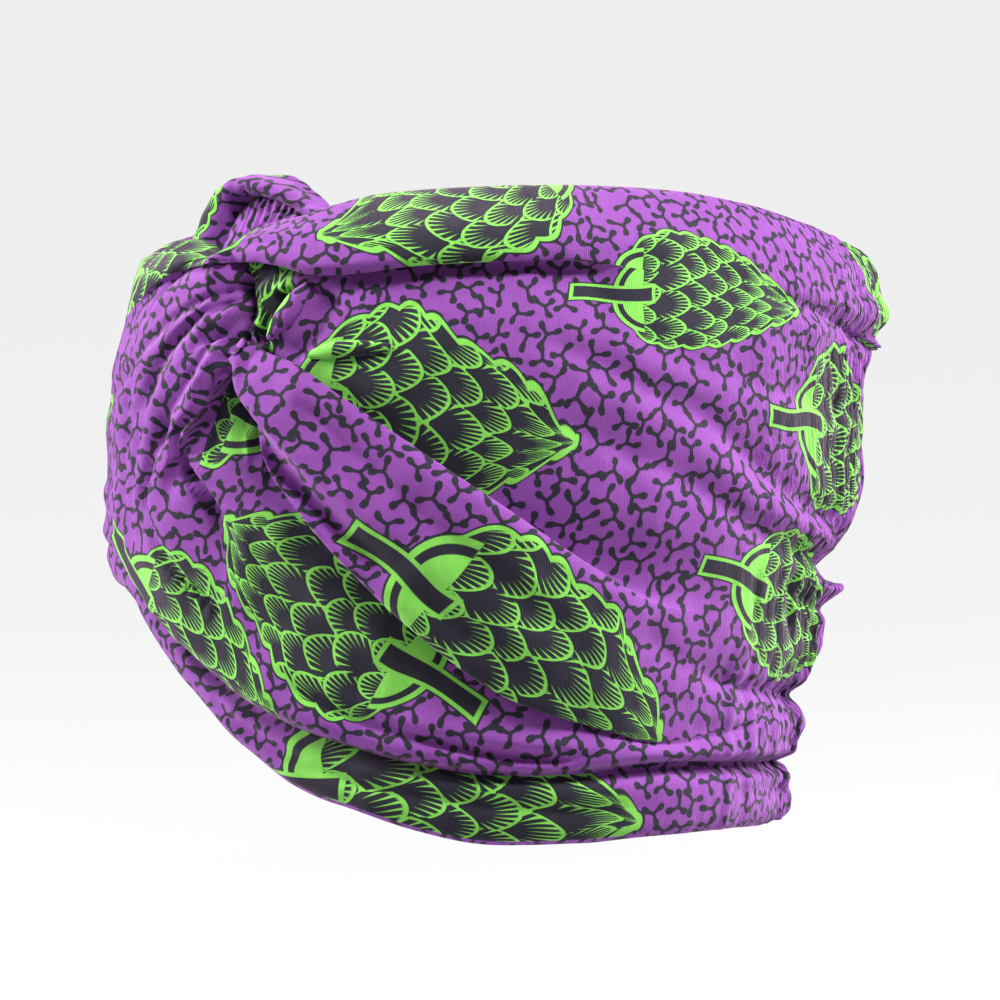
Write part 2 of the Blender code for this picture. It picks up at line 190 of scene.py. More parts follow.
FOLDS = (
    (-150, 0.5, 0.1, 0.15, 0.15, 0, 0, 1),
    (-90, 0.6, 0.15, 0.3, 0.25, 0, 0.5, 1.5),
    (-50, 0.7, 0.15, 0.3, 0.3, 0, 0.5, 1.5),
    (-30, 0.8, 0, 0.1, 0.1, 0, 0.3, 0.5),
    (-12, 0.8, 0, 0, 0, 0, 0, 0),
    (5, 0.9, 0, 0, 0.1, 0.1, 0, 0.5),
    (14, 1, 0, 0, 0.25, 0.4, 0, 1.5),
    (24, 1, 0, 0, 0.35, 0.8, 0, 1.5),
    (31, 1, 0.5, 0, 0.4, 1, 0.5, 1.5),
    (36, 1, 1, 0.6, 0.9, 1, 1, 2),
    (42, 1, 1, 1, 1, 1, 1.2, 2.6),
    (48, 1, 1, 1, 1, 1, 1.2, 3),
    (70, 1, 1, 1, 1, 0, 1.5, 3),
    (86, 1, 0.8, 0.8, 0.5, 0, 1.2, 2.5),
    (96, 1, 0.35, 0.45, 0.15, 0, 0.6, 2),
    (106, 1, 0, 0.1, 0, 0, 0, 1.5),
    (138, 1, 0, 0.03, 0.1, 0, 0, 1),
    (160, 0.8, 0.1, 0.4, 0.4, 0, 0, 0.8),
    (180, 0.6, 0.1, 0.3, 0.3, 0, 0, 0.8),
)


def round_head(rows, columns, name, angle):
    """The named column of a table by angle, taken round the head without a seam."""
    rows = np.array(rows, float)
    at, value = rows[:, 0], rows[:, columns.index(name)]
    knots = np.concatenate([at[-3:] - 360, at, at[:3] + 360])
    return smooth_curve(knots, np.concatenate([value[-3:], value, value[:3]]), angle)


def edge(name, angle):
    return round_head(EDGES, EDGE_COLUMNS, name, angle)


def fold(name, angle):
    return round_head(FOLDS, FOLD_COLUMNS, name, angle)


print("the top edge is highest at", round(float(edge("top", np.arange(0, 180.0)).max()), 1), "mm")

# %% [markdown]
# ## The fan at the twist
#
# In front of the twist the cloth is drawn together and stands out over the sash. Its edge leans out past
# its own foot, which is what makes the deep dark line under it. A swell alone can't overhang, so the points
# on the edge are also slid sideways: forward at the top of the edge and back at its foot.

# %% The fan
FAN_EDGE = ((20, 33), (38, 36), (45, 40.4), (51, 40), (57, 39), (63, 36.2), (66, 31), (72, 27))
FAN_FALL = 2.6
FAN_RISE = 6.5
FAN_OVERHANG = 0.75
# The overhang grows from one height over some millimetres, and dies away below another
LEAN_FOOT, LEAN_FOOT_OVER = 22, 14
LEAN_HEAD, LEAN_HEAD_OVER = 68, 6


def fan_past(angle, height):
    """How far a point lies past the middle of the fan's edge, as a share of the edge's width."""
    at, turn = np.array(FAN_EDGE, float).T
    return (angle - smooth_curve(at, turn, height)) / FAN_FALL


def fan_share(angle, height):
    """The share of the fan's rise at a point: it falls from 1 to 0 across the fan's edge at the twist."""
    past = np.clip(fan_past(angle, height) + 0.5, 0, 1)
    return fold("fan", angle) * (1 - past**2 * (3 - 2 * past))


def fan_lean(angle, height):
    """How far the fan's edge is slid round the head, in degrees: one sine wave across the edge's width."""
    past = np.clip(fan_past(angle, height), -0.5, 0.5)
    strength = np.clip((height - LEAN_FOOT) / LEAN_FOOT_OVER, 0, 1)
    strength = strength * np.clip((LEAN_HEAD - height) / LEAN_HEAD_OVER, 0, 1)
    return -FAN_OVERHANG * strength * fold("fan", angle) * np.sin(2 * np.pi * past)


# %% [markdown]
# ## The section of the band
#
# At every angle the band is one closed section: up the outside through the five panels, over the top edge,
# and down the inside. Where a crease is strong, the lower or upper panel runs on behind the lip of the one
# that covers it, and the lip is turned round with the thickness of two layers of cloth. The section is
# first a ring of points, worked out for all angles at once, and then a smooth curve through them.

# %% Section points
# The wall, how far its rounded edges stand past it, and the least wall where a fold is deep
CLOTH = 2.4
EDGE_ROUND = 1.1
THIN = 1.4
# A crease: how far the covered panel runs on behind, how far the lip stands out, and how it turns round
TUCK = 2.6
LIP = 5.2
HEM_LIP = 3.4
LIP_PAST = 1.0
LIP_TURN = 0.5
LIP_BACK = 0.6
UNDER_CLEAR = 0.25
OPEN_SPREAD = 1.2
# How far the edges and the two sides of the hem's crease stand out, and how much each panel swells
EDGE_OUT = 0.7
HEM_PANEL_OUT = -0.8
HEM_COVER_OUT = 1.2
HEM_SWELL = 2.0
LOWER_SWELL = 0.8
MIDDLE_SWELL = 0.6
FAN_AT_TOP = 0.3
PANEL_POINTS = (3, 3, 3, 3, 4)
INSIDE_POINTS = 7


def crease(height, low, high, strength, lip, upper_covers):
    """Section points across one crease, from the lower panel to the upper, as pairs of out and height."""
    way = 1 if upper_covers else -1
    under, over = (low, high) if upper_covers else (high, low)
    over = np.maximum(over, under + strength * lip)
    back = np.maximum(over - CLOTH * strength, under + UNDER_CLEAR * strength)
    # An open crease is four points at even distances, so its inner two lie at a third of the spread
    spread = OPEN_SPREAD * (1 - strength)
    points = [
        (under, height + way * (TUCK * strength - spread)),
        (back, height + way * (LIP_BACK * strength - spread / 3)),
        ((over + back) / 2, height - way * (LIP_TURN * strength - spread / 3)),
        (over, height + way * (LIP_PAST * strength + spread)),
    ]
    return points if upper_covers else points[::-1]


def panel(start, end, swell, count):
    """Section points between two creases: a straight run with a swell that is fullest at the middle."""
    share = np.arange(1, count + 1) / (count + 1)
    return [
        (start[0] + (end[0] - start[0]) * s + swell * np.sin(np.pi * s), start[1] + (end[1] - start[1]) * s)
        for s in share
    ]


def section_ring(angle):
    """The points of the section at every angle, as (point, angle, out and height)."""
    z = {name: edge(name, angle) for name in EDGE_COLUMNS[1:]}
    f = {name: fold(name, angle) for name in FOLD_COLUMNS[1:]}
    fan = {name: FAN_RISE * fan_share(angle, z[name]) for name in z}
    zero = 0 * angle
    low_fan = fan["sash_low"] * (1 - f["sash_low"])
    creases = [
        crease(z["hem"], zero + HEM_PANEL_OUT, zero + HEM_COVER_OUT, f["hem"], HEM_LIP, True),
        crease(z["sash_low"], low_fan, fan["sash_low"], f["sash_low"], LIP, True),
        crease(z["sash_top"], fan["sash_top"], fan["sash_top"], f["sash_top"], LIP, False),
        crease(z["roll"], fan["roll"], fan["roll"], f["roll"], LIP, True),
    ]
    bottom = (zero + EDGE_OUT, z["bottom"])
    top = (FAN_AT_TOP * fan["top"] + EDGE_OUT, z["top"])
    starts = [bottom] + [c[-1] for c in creases]
    ends = [c[0] for c in creases] + [top]
    swells = (HEM_SWELL, LOWER_SWELL, f["sash_swell"], MIDDLE_SWELL, f["roll_swell"])
    outside = [bottom]
    for k, count in enumerate(PANEL_POINTS):
        outside += panel(starts[k], ends[k], swells[k], count)
        if k < len(creases):
            outside += creases[k]
    outside.append(top)
    lining = zero - CLOTH
    inner_top = (lining + FAN_AT_TOP * fan["top"], z["top"])
    inner_bottom = (lining, z["bottom"])
    rim = [((top[0] + inner_top[0]) / 2, z["top"] + EDGE_ROUND)]
    foot = [((bottom[0] + inner_bottom[0]) / 2, z["bottom"] - EDGE_ROUND)]
    inside = [inner_top] + panel(inner_top, inner_bottom, zero, INSIDE_POINTS) + [inner_bottom]
    ring = outside + rim + inside + foot
    return np.stack([np.stack([p[0] + zero, p[1] + zero], -1) for p in ring])


# %% [markdown]
# ## A smooth curve through the section
#
# The points of a lip are a millimetre apart and those of a panel fifteen, so the curve has to suit both. At
# each point its slope is the mean of the slopes on both sides, each weighted by the other side's length.
# That keeps a lip round and a panel calm. A count for each stretch says how many rows of the mesh it gets:
# many on the wide middle panel, where fine folds lie, and few inside, which is plain.

# %% Section rows
PANEL_STEPS = (4, 6, 6, 9, 4)
CREASE_STEPS = 4
RIM_STEPS = 3
INSIDE_STEPS = 3
ZONES = ("hem", "lower", "sash", "middle", "roll", "inside")
HEM, _, SASH, MIDDLE, ROLL, INSIDE = range(len(ZONES))
# Added to every length, so that none is nothing
LEAST_LENGTH = 1e-6


def stretches():
    """For each stretch of the section, its number of rows and the zone that it belongs to."""
    steps = []
    for k, count in enumerate(PANEL_POINTS):
        steps += [(PANEL_STEPS[k], k)] * (count + 1)
        if k < len(PANEL_POINTS) - 1:
            # The sash's top edge lies over the panel above it, and every other crease is covered from above
            lip = k if k == SASH else k + 1
            steps += [(CREASE_STEPS, k), (CREASE_STEPS, lip), (CREASE_STEPS, k + 1)]
    steps += [(RIM_STEPS, ROLL), (RIM_STEPS, INSIDE)] + [(INSIDE_STEPS, INSIDE)] * (INSIDE_POINTS + 1)
    return steps + [(RIM_STEPS, INSIDE), (RIM_STEPS, HEM)]


def smooth_ring(ring, counts):
    """Rows of a closed curve through the ring's points, with a count of rows for each stretch."""
    ahead = np.roll(ring, -1, 0) - ring
    length = np.linalg.norm(ahead, axis=-1, keepdims=True) + LEAST_LENGTH
    slope = ahead / length
    slope_before, length_before = np.roll(slope, 1, 0), np.roll(length, 1, 0)
    tangent = (slope_before * length + slope * length_before) / (length + length_before)
    following, tangent_after = np.roll(ring, -1, 0), np.roll(tangent, -1, 0)
    rows = []
    for k, count in enumerate(counts):
        s = (np.arange(count) / count)[:, None, None]
        rows.append(cubic_piece(s, ring[k], following[k], tangent[k], tangent_after[k], length[k]))
    return np.concatenate(rows)


# %% [markdown]
# ## Folds, pleats and wrinkles
#
# Over the panels lie dozens of smaller folds. Each is one stroke along a path of angles and heights. It
# says how high it stands at both ends (or how deep, when negative), its half width there, and how sharp its
# right side is, looking along the path. A sharp stroke is a pleat: it rises slowly on one side and drops
# off on the other. The cloth's form is the sum of all strokes, so a new fold is one more row.

# %% Strokes
# Each row: the rise at both ends, the half width at both ends, the sharpness and the path
STROKES = (
    # The forehead fan, whose ridges and creases are drawn into the twist
    (-1.8, -1.8, 1.4, 2.0, 0.3, ((31, 66), (26, 64), (21.5, 61), (17.8, 56.5), (14, 49))),
    (1.6, 0.8, 2.2, 3.6, 0.0, ((36, 61.5), (31.8, 61), (24.2, 59.2), (19, 54.8), (12, 47))),
    (-3.2, -1.0, 1.2, 2.6, 0.4,
     ((38.8, 58.5), (35.5, 57.5), (32, 55.8), (28, 53.2), (22.2, 48.8), (12, 40), (-6, 30))),
    (1.6, 0.5, 1.5, 3.2, 0.0,
     ((38, 57.2), (35, 56), (31.5, 53.6), (27, 49.6), (21, 43), (10, 32), (-8, 20))),
    (-3.2, -1.0, 1.2, 2.6, 0.4,
     ((39, 56.2), (36, 55), (33, 53.4), (28.5, 48), (23.8, 40.5), (17, 30), (6, 17))),
    (1.6, 0.5, 1.5, 3.0, 0.0,
     ((38.6, 54.8), (35.6, 52.4), (32.5, 48.5), (29.2, 42.5), (24.5, 33), (20, 24))),
    (-3.0, -1.0, 1.2, 2.6, 0.3,
     ((39, 53.6), (37.4, 50.6), (35.4, 46.6), (33, 41), (30, 34.5), (26.5, 26), (24, 17))),
    (1.2, 0.4, 1.3, 2.0, 0.0, ((38.8, 50.5), (37.4, 46.5), (35.4, 41.5), (33.2, 36.5), (30.8, 31))),
    (-1.8, -1.2, 2.0, 3.0, 0.0, ((17, 40), (12.2, 33), (11.5, 18.5), (9, 3), (8, -6))),
    (-1.8, -1.3, 2.0, 3.0, 0.0, ((24, 38), (19, 28.8), (16.8, 18.8), (14.5, 4), (13, -6))),
    (-2.2, -1.5, 1.8, 2.8, 0.0, ((27, 28), (24, 21), (21.2, 14), (18.5, 4.2), (16.2, -4))),
    (-2.6, -2.0, 1.6, 1.6, 0.5, ((33, 30), (29.5, 24), (28.8, 18), (30.7, 13), (33, 8.5), (36, 3))),
    (1.1, 0.7, 2.2, 3.0, 0.0, ((27, 36), (22.5, 26), (20.5, 17), (17.5, 5))),
    (-1.4, -2.6, 1.2, 1.6, 0.5,
     ((22.4, 18.4), (20.6, 12), (20.3, 6), (23.5, -3.5), (27.1, -9.5), (31, -14.6), (36, -21))),
    # The twist: a pit on each side of its cord, the ridge beside it and the hollow behind that
    (-4.0, -4.5, 4.2, 4.0, 0.0, ((36.5, 62), (38.5, 58), (40, 53), (40, 48.5), (38.6, 44), (36, 40))),
    (-6.0, -7.5, 1.5, 1.9, 0.0,
     ((36.2, 60.4), (37.8, 57.6), (38.6, 54), (38.6, 50), (38.0, 46.6), (37.2, 43.4))),
    (4.6, 3.6, 1.7, 1.2, 0.0, ((40.8, 60.6), (42.0, 56.3), (41.9, 52.5), (40.9, 49), (39.6, 45.9))),
    (-5.0, -5.0, 1.2, 1.3, 0.0, ((45.2, 57.6), (44.8, 54), (44.1, 50.6), (42.7, 47.6), (41.0, 45.2))),
    (2.6, 2.2, 2.4, 1.6, 0.0, ((49.4, 59), (47.6, 55), (46.2, 51), (44.6, 48), (42.8, 45.8))),
    (-2.8, -2.8, 2.6, 2.2, 0.0, ((54.4, 57), (51.8, 52.8), (50.6, 48.2), (49, 44.6), (47, 42))),
    (1.6, 0.9, 1.5, 2.6, 0.3,
     ((42.4, 58), (45, 58.8), (47.8, 60.4), (51.5, 61.4), (59.2, 62.3), (72, 62.6))),
    (-1.6, -0.6, 1.2, 1.6, 0.0, ((44.6, 57.2), (48, 58.2), (52, 59), (58, 60))),
    (-1.5, -0.8, 1.2, 2.0, 0.3, ((30, 66.5), (35.2, 68.5), (41.8, 69), (48.6, 68))),
    (1.0, 0.5, 1.6, 2.2, 0.0, ((30.5, 67.4), (35, 70.2), (41, 71.6), (50, 72))),
    (-1.0, -0.3, 1.2, 1.8, 0.0, ((31, 68), (33.5, 70.6), (38.8, 73.4), (46, 75.6))),
    (-2.4, -0.6, 1.3, 1.8, 0.0, ((42, 63), (50, 61.6), (60, 62.6), (72, 63.8), (84, 64), (98, 63.4))),
    # The sash: one pleat over the next, with a hollow beside its edge
    (1.8, 0.8, 2.8, 3.2, 0.7,
     ((37.2, 40), (41, 32.4), (45.6, 25.6), (50, 18.4), (55.6, 11), (60.2, 5.4), (66, -3), (72, -12))),
    (-5.6, -2.0, 2.2, 3.0, 0.0,
     ((38.8, 33), (42.6, 25.6), (46.2, 18.6), (50.2, 12), (54, 5.8), (58, -0.6), (64, -10))),
    (2.0, 1.5, 1.1, 1.6, 0.6,
     ((35.2, 34.3), (39.7, 25.4), (44.9, 16.6), (50.1, 7.5), (55.4, -3), (60, -11))),
    (-2.0, -1.6, 2.6, 4.0, 0.0, ((50, 34), (56, 25), (63, 14), (72, 0), (80, -12), (90, -26))),
    (1.2, 0.8, 2.6, 3.6, 0.0, ((47, 37), (54, 29.6), (61, 20), (70, 7), (79, -6), (90, -20))),
    (-1.2, -1.2, 2.6, 3.6, 0.0, ((66, -10), (74, -24), (84, -36), (96, -44))),
    # The lower panel and the second crease along the hem
    (2.0, 0.6, 2.0, 2.8, 0.72,
     ((29, 20), (31, 17.2), (33.4, 13.6), (35, 9.8), (36.6, 6), (40, -1), (44, -9))),
    (-2.6, -1.2, 1.6, 2.4, 0.0, ((28, 18), (30, 14.5), (32, 11), (34, 6), (37, -1), (41, -9))),
    (-1.8, -3.4, 1.4, 2.0, 0.4,
     ((46, -33), (52, -39), (58, -43), (64, -46), (72, -49.5), (80, -52), (90, -53))),
    (0.8, 1.2, 1.8, 2.4, 0.0, ((44, -28), (52, -35), (60, -41), (70, -45.5), (82, -48.5), (94, -50))),
    (-1.6, -1.0, 3.0, 4.0, 0.0, ((40, -4), (46, -12), (54, -24), (62, -34))),
    (0.9, 0.5, 2.4, 3.0, 0.0, ((24, -22), (34, -32), (44, -40), (56, -47))),
    (-3.6, -4.4, 1.2, 1.6, 0.0, ((22, -26), (30, -34.4), (40, -42), (54, -49.4), (70, -55), (90, -57))),
    (-4.4, -4.0, 1.6, 1.9, 0.0, ((84, -57), (98, -55.4), (112, -56), (128, -57.6), (150, -59), (180, -59))),
    (-1.4, -1.4, 1.6, 2.0, 0.0, ((30, -40), (40, -48), (52, -55.5), (66, -61), (84, -64.5), (100, -65))),
    # The middle panel: the long fold to the nape and the soft valleys about it
    (-0.8, -3.0, 2.6, 3.8, 0.3,
     ((80, 47), (90, 43), (101.2, 33.4), (110, 26.5), (119.5, 15), (131, 5.5), (150, -2))),
    (0.8, 1.8, 3.0, 4.2, 0.0, ((86, 36), (98, 29), (109, 19), (119, 8), (131, -1), (146, -7))),
    (-0.8, -2.4, 2.2, 3.0, 0.0,
     ((84, 28.8), (92, 23.5), (98, 18.5), (107, 11.8), (118, 1), (126, -4), (138, -8))),
    (-0.6, -1.6, 3.0, 3.6, 0.0, ((96, 50), (106, 42), (118, 36), (134, 30), (150, 28))),
    (0.3, 1.2, 3.0, 4.0, 0.0, ((98, 44), (110, 36), (124, 29), (142, 24), (160, 22))),
    (-0.8, -3.6, 2.0, 3.0, 0.2, ((121, 56.6), (127.5, 55), (135.2, 52), (146, 48.5), (158, 46), (180, 45))),
    (0.6, 1.8, 2.6, 3.4, 0.0, ((122, 52), (130, 49), (140, 46), (152, 42), (180, 40))),
    (-0.6, -1.8, 3.0, 3.4, 0.0, ((98, -22), (104.5, -30), (110, -33.5), (118, -35))),
    (-0.6, -3.6, 1.8, 2.6, 0.0, ((115, 3), (126, 0), (136, -6), (150, -11), (180, -12.5))),
    (0.6, 2.4, 2.0, 2.6, 0.2, ((122, -4), (134, -11), (150, -16), (180, -17.5))),
    (-0.6, -3.4, 1.8, 2.4, 0.0, ((122, -10), (136, -18), (152, -21.5), (180, -22.5))),
    (0.4, 1.6, 3.0, 3.6, 0.0, ((112, -27), (130, -30), (150, -32), (180, -32))),
    (-1.2, -4.6, 1.7, 2.6, 0.0, ((109, -34.5), (117.5, -37.6), (128.8, -39.8), (145, -42.5), (180, -44))),
    (0.6, 1.8, 2.4, 3.2, 0.0, ((106, -42), (118, -45.5), (132, -48.5), (150, -50), (180, -51))),
    (-0.6, -1.8, 1.8, 2.2, 0.0, ((112, -62), (126, -64), (145, -65), (180, -65))),
    (0.4, -2.0, 2.6, 3.0, 0.0, ((120, 66), (132, 61), (146, 58), (180, 56))),
    # The far side, which the picture doesn't show
    (-3.6, -0.8, 2.8, 3.6, 0.2, ((-180, 45), (-160, 45), (-140, 40), (-115, 37), (-85, 38))),
    (1.8, 0.6, 3.4, 4.0, 0.0, ((-180, 37), (-160, 37), (-140, 31), (-115, 28), (-85, 30))),
    (-3.0, -0.8, 2.6, 3.6, 0.0, ((-180, 22), (-155, 22), (-130, 14), (-100, 6), (-70, 4))),
    (1.8, 0.6, 2.8, 3.6, 0.0, ((-180, 2), (-155, 3), (-130, -3), (-100, -6))),
    (-3.6, -0.8, 2.6, 3.6, 0.0, ((-180, -12.5), (-158, -10), (-130, -16), (-100, -14), (-70, -10))),
    (2.2, 0.6, 2.4, 3.4, 0.0, ((-180, -18), (-158, -18), (-130, -23), (-100, -24))),
    (-3.0, -0.8, 2.2, 3.4, 0.0, ((-180, -26), (-158, -27), (-130, -30), (-104, -31))),
    (-4.4, -1.2, 2.4, 3.6, 0.0, ((-180, -44), (-158, -42), (-130, -38), (-100, -40), (-70, -30))),
    (-3.0, -2.2, 1.8, 2.0, 0.0,
     ((-180, -59), (-150, -58.4), (-120, -56), (-90, -50), (-60, -34), (-40, -17), (-20, -6))),
    (-1.8, -0.6, 2.2, 3.0, 0.0, ((-180, -65), (-150, -65), (-120, -63), (-90, -58))),
    (-1.8, -0.8, 2.4, 3.6, 0.0, ((-80, 46), (-55, 40), (-30, 36), (-8, 38))),
    (-1.6, -0.9, 2.8, 3.8, 0.0, ((-80, -8), (-55, 2), (-30, 8), (-6, 2), (8, -6))),
    (1.2, 0.6, 3.0, 4.0, 0.0, ((-85, 24), (-55, 24), (-30, 24), (-6, 26))),
)
# About how many mm a degree is round the head
DEGREE_RUN = 1.55
STROKE_STEPS = 6
# A fold is worked out up to this many half widths away, and fades in over this share of its path
STROKE_REACH = 2.6
STROKE_FADE = 0.14


def stroke_path(path):
    """A fold's path as a smooth run of short steps, in mm along the head and up."""
    path = np.array(path, float)
    at = np.linspace(0, len(path) - 1, STROKE_STEPS * (len(path) - 1) + 1)
    line = np.stack([smooth_curve(np.arange(len(path)), path[:, k], at) for k in (0, 1)], -1)
    return line * [DEGREE_RUN, 1]


def stroke(place, rise_a, rise_b, half_a, half_b, sharp, path):
    """One fold's height at each place: a bell of the distance from its path, as high as both ends' mix."""
    line = stroke_path(path)
    total = np.zeros(len(place))
    margin = STROKE_REACH * max(half_a, half_b)
    near = np.all((place > line.min(0) - margin) & (place < line.max(0) + margin), axis=1)
    here = place[near]
    best, away, share = np.full(len(here), np.inf), np.zeros(len(here)), np.zeros(len(here))
    for k, (begin, step) in enumerate(zip(line[:-1], np.diff(line, axis=0))):
        from_begin = here - begin
        along = np.clip(from_begin @ step / (step @ step), 0, 1)
        distance = np.hypot(*(from_begin - along[:, None] * step).T)
        left = np.sign(step[0] * from_begin[:, 1] - step[1] * from_begin[:, 0])
        closer = distance < best
        best = np.where(closer, distance, best)
        away = np.where(closer, distance * left, away)
        share = np.where(closer, (k + along) / (len(line) - 1), share)
    half = half_a + (half_b - half_a) * share
    half = np.where(away < 0, half * (1 - sharp), half)
    fade = np.clip(np.minimum(share, 1 - share) / STROKE_FADE, 0, 1)
    rise = (rise_a + (rise_b - rise_a) * share) * np.sin(np.pi / 2 * fade)
    total[near] = rise * np.exp(-((away / half) ** 2))
    return total


def strokes(angle, height):
    """The sum of all folds at each point, in mm."""
    place = np.stack([angle.ravel() * DEGREE_RUN, height.ravel()], -1)
    return sum(stroke(place, *row) for row in STROKES).reshape(angle.shape)


print("folds:", len(STROKES))

# %% [markdown]
# ## Gathers at the nape and the cloth's own waviness
#
# Toward the nape the cloth is gathered into upright ribs, which start further forward near the hem, and
# everywhere else it is never quite smooth. Both are sums of sine waves. A fixed seed draws their
# directions, so that each run gives the same cloth.

# %% Gathers and waviness
GATHER_START = ((-75, 104), (-40, 106), (-16, 110), (20, 117), (60, 132), (90, 140))
GATHER_GROWTH = 34.0
# The ribs' pitches in degrees, with how deep each is in mm
GATHER_RIBS = ((2.7, 0.5), (5.1, 0.6), (9.0, 0.6))
GATHER_BEND = 2.2
GATHER_UNEVEN = 0.6
# The waves' lengths in mm, with how high each stands and the seed that draws it
WAVES = ((30.0, 0.55, 5), (11.0, 0.22, 6), (5.5, 0.07, 7))
WAVE_COUNT = 9
WAVE_LEAST, WAVE_SPREAD = 0.6, 0.9
WAVE_TOP = 4


def waviness(points, size, seed):
    """A smooth random field from about -1 to 1: sine waves of about one length, in random directions."""
    draw = np.random.default_rng(seed)
    directions = draw.normal(size=(WAVE_COUNT, 3))
    total = 0
    for direction, stretch, phase in zip(directions, draw.random(WAVE_COUNT), draw.random(WAVE_COUNT)):
        wave = 2 * np.pi / (size * (WAVE_LEAST + WAVE_SPREAD * stretch))
        total = total + np.sin(points @ (direction / np.linalg.norm(direction)) * wave + 2 * np.pi * phase)
    return total / WAVE_TOP


def gathers(angle, height, wander):
    """The ribs of gathered cloth: cosines of the angle, bent by a random field, that grow from a start."""
    at, start = np.array(GATHER_START, float).T
    share = np.clip((np.abs(angle) - np.interp(height, at, start)) / GATHER_GROWTH, 0, 1)
    ribs = sum(deep * np.cos(2 * np.pi * angle / pitch + GATHER_BEND * wander) for pitch, deep in GATHER_RIBS)
    return share * (1 + GATHER_UNEVEN * wander) * ribs


# %% [markdown]
# ## The band's grid
#
# The columns of the grid stand close together where the twist is and where the cloth is gathered, and wide
# apart round the far side. For each point the section gives out and height, the strokes and gathers add to
# out, and the form turns all of it into a place. Where folds are deep, the inner wall goes in with the
# deepest one near its height, so that no fold comes through it.

# %% Band grid
# The angles from and to which columns run, with how many of them there are
COLUMN_RUNS = (
    (-180, -110, 84),
    (-110, -30, 44),
    (-30, 24, 58),
    (24, 46, 66),
    (46, 110, 96),
    (110, 180, 140),
)
WANDER_SIZE, WANDER_SEED = 26.0, 3
# How far above and below itself the inner wall looks for the deepest fold
BEHIND_REACH = 7.0

columns = np.concatenate([np.linspace(a, b, n, endpoint=False) for a, b, n in COLUMN_RUNS])
counts, zone_of_stretch = np.array(stretches()).T
rows = smooth_ring(section_ring(columns), counts)
zone = np.repeat(zone_of_stretch, counts)[:, None]
out, height = rows[..., 0], rows[..., 1]
angle = columns + 0 * out
outer = zone < INSIDE
plain = on_form(angle, height, out)
wander = waviness(plain, WANDER_SIZE, WANDER_SEED)
ribs = gathers(angle, height, wander)
wavy = sum(rise * waviness(plain, size, seed) for size, rise, seed in WAVES)
pressed = out + np.where(outer, strokes(angle, height) + wavy, 0)
outside, inside = np.flatnonzero(outer[:, 0]), np.flatnonzero(~outer[:, 0])
is_behind = np.abs(height[outside] - height[inside][:, None]) < BEHIND_REACH
deepest_behind = np.where(is_behind, pressed[outside], 0).min(1)
pressed[inside] = np.minimum(out[inside], deepest_behind - THIN)
pressed += ribs
band_points = on_form(angle + np.where(outer, fan_lean(angle, height), 0), height, pressed)
print("band grid:", band_points.shape[0], "rows and", band_points.shape[1], "columns")

# %% [markdown]
# ## The cloth's own measure
#
# A print has to lie on the cloth as it was printed flat, so each point gets its place on the cloth: how far
# round the head it is from the one seam at the nape, and how far up the section. Where the cloth is
# gathered, more of it lies in each degree. Each panel starts from the form's own measure at its lower
# crease, so that the print nearly runs on where two panels are one, and jumps where a crease hides some of
# the cloth.

# %% Cloth coordinates
# At each angle, how many times more cloth there is than the form needs
GATHERED_CLOTH = (
    (-180, 1.8),
    (-150, 1.5),
    (-115, 1),
    (20, 1),
    (30, 1.1),
    (40, 1.2),
    (50, 1),
    (112, 1),
    (135, 1.3),
    (150, 1.55),
    (180, 1.8),
)
HEIGHT_GRID = np.arange(-100.0, 101.0)
ROUND_STEPS = 3600
ALMOST_ROUND = 359.999


def cloth_round(columns):
    """How far round the cloth each column lies, in mm: the ellipse's length, times the cloth there."""
    fine = np.linspace(columns[0], columns[0] + 360, ROUND_STEPS + 1)
    a = np.radians(fine)
    step = np.radians(360 / ROUND_STEPS) * np.hypot(HALF_ACROSS * np.cos(a), HALF_DEEP * np.sin(a))
    at, much = np.array(GATHERED_CLOTH, float).T
    step = step * smooth_curve(at, much, fine)
    return np.interp(columns, fine, np.cumsum(step) - step[0])


def form_rise(angle, height):
    """How far up the form's own surface a height is: a millimetre is longer where the form draws in."""
    angle = np.asarray(angle, float) + 0 * np.asarray(height)
    lean = np.gradient(inset(angle[..., None], HEIGHT_GRID), axis=-1)
    rise = np.cumsum(np.hypot(1, lean), axis=-1)
    middle = np.searchsorted(HEIGHT_GRID, 0)
    rise = rise - rise[..., middle:middle + 1]
    place = np.asarray(height) - HEIGHT_GRID[0]
    low = np.floor(place).astype(int)[..., None]
    below, above = (np.take_along_axis(rise, low + k, -1)[..., 0] for k in (0, 1))
    return below + (above - below) * (place - low[..., 0])


along_cloth = cloth_round(np.append(columns, columns[0] + ALMOST_ROUND))
cloth_length = float(along_cloth[-1])
print("cloth round the head:", round(cloth_length), "mm")

# %% [markdown]
# ## From a grid to a mesh
#
# A grid of points becomes a mesh of quads. The arrays go into the mesh whole, with foreach_set. Corners,
# not points, carry the cloth's measure, so that the print may jump from one zone to the next in the dark of
# a crease.

# %% Mesh helper


def grid_quads(rows, columns, ring_rows, ring_columns):
    """The four grid places (row, column) of every quad's corners, as two arrays of (quad, corner)."""
    down, round_there = np.arange(rows - (not ring_rows)), np.arange(columns - (not ring_columns))
    j, i = (a.ravel() for a in np.meshgrid(down, round_there, indexing="ij"))
    return np.stack([j, j, j + 1, j + 1], -1), np.stack([i, i + 1, i + 1, i], -1)


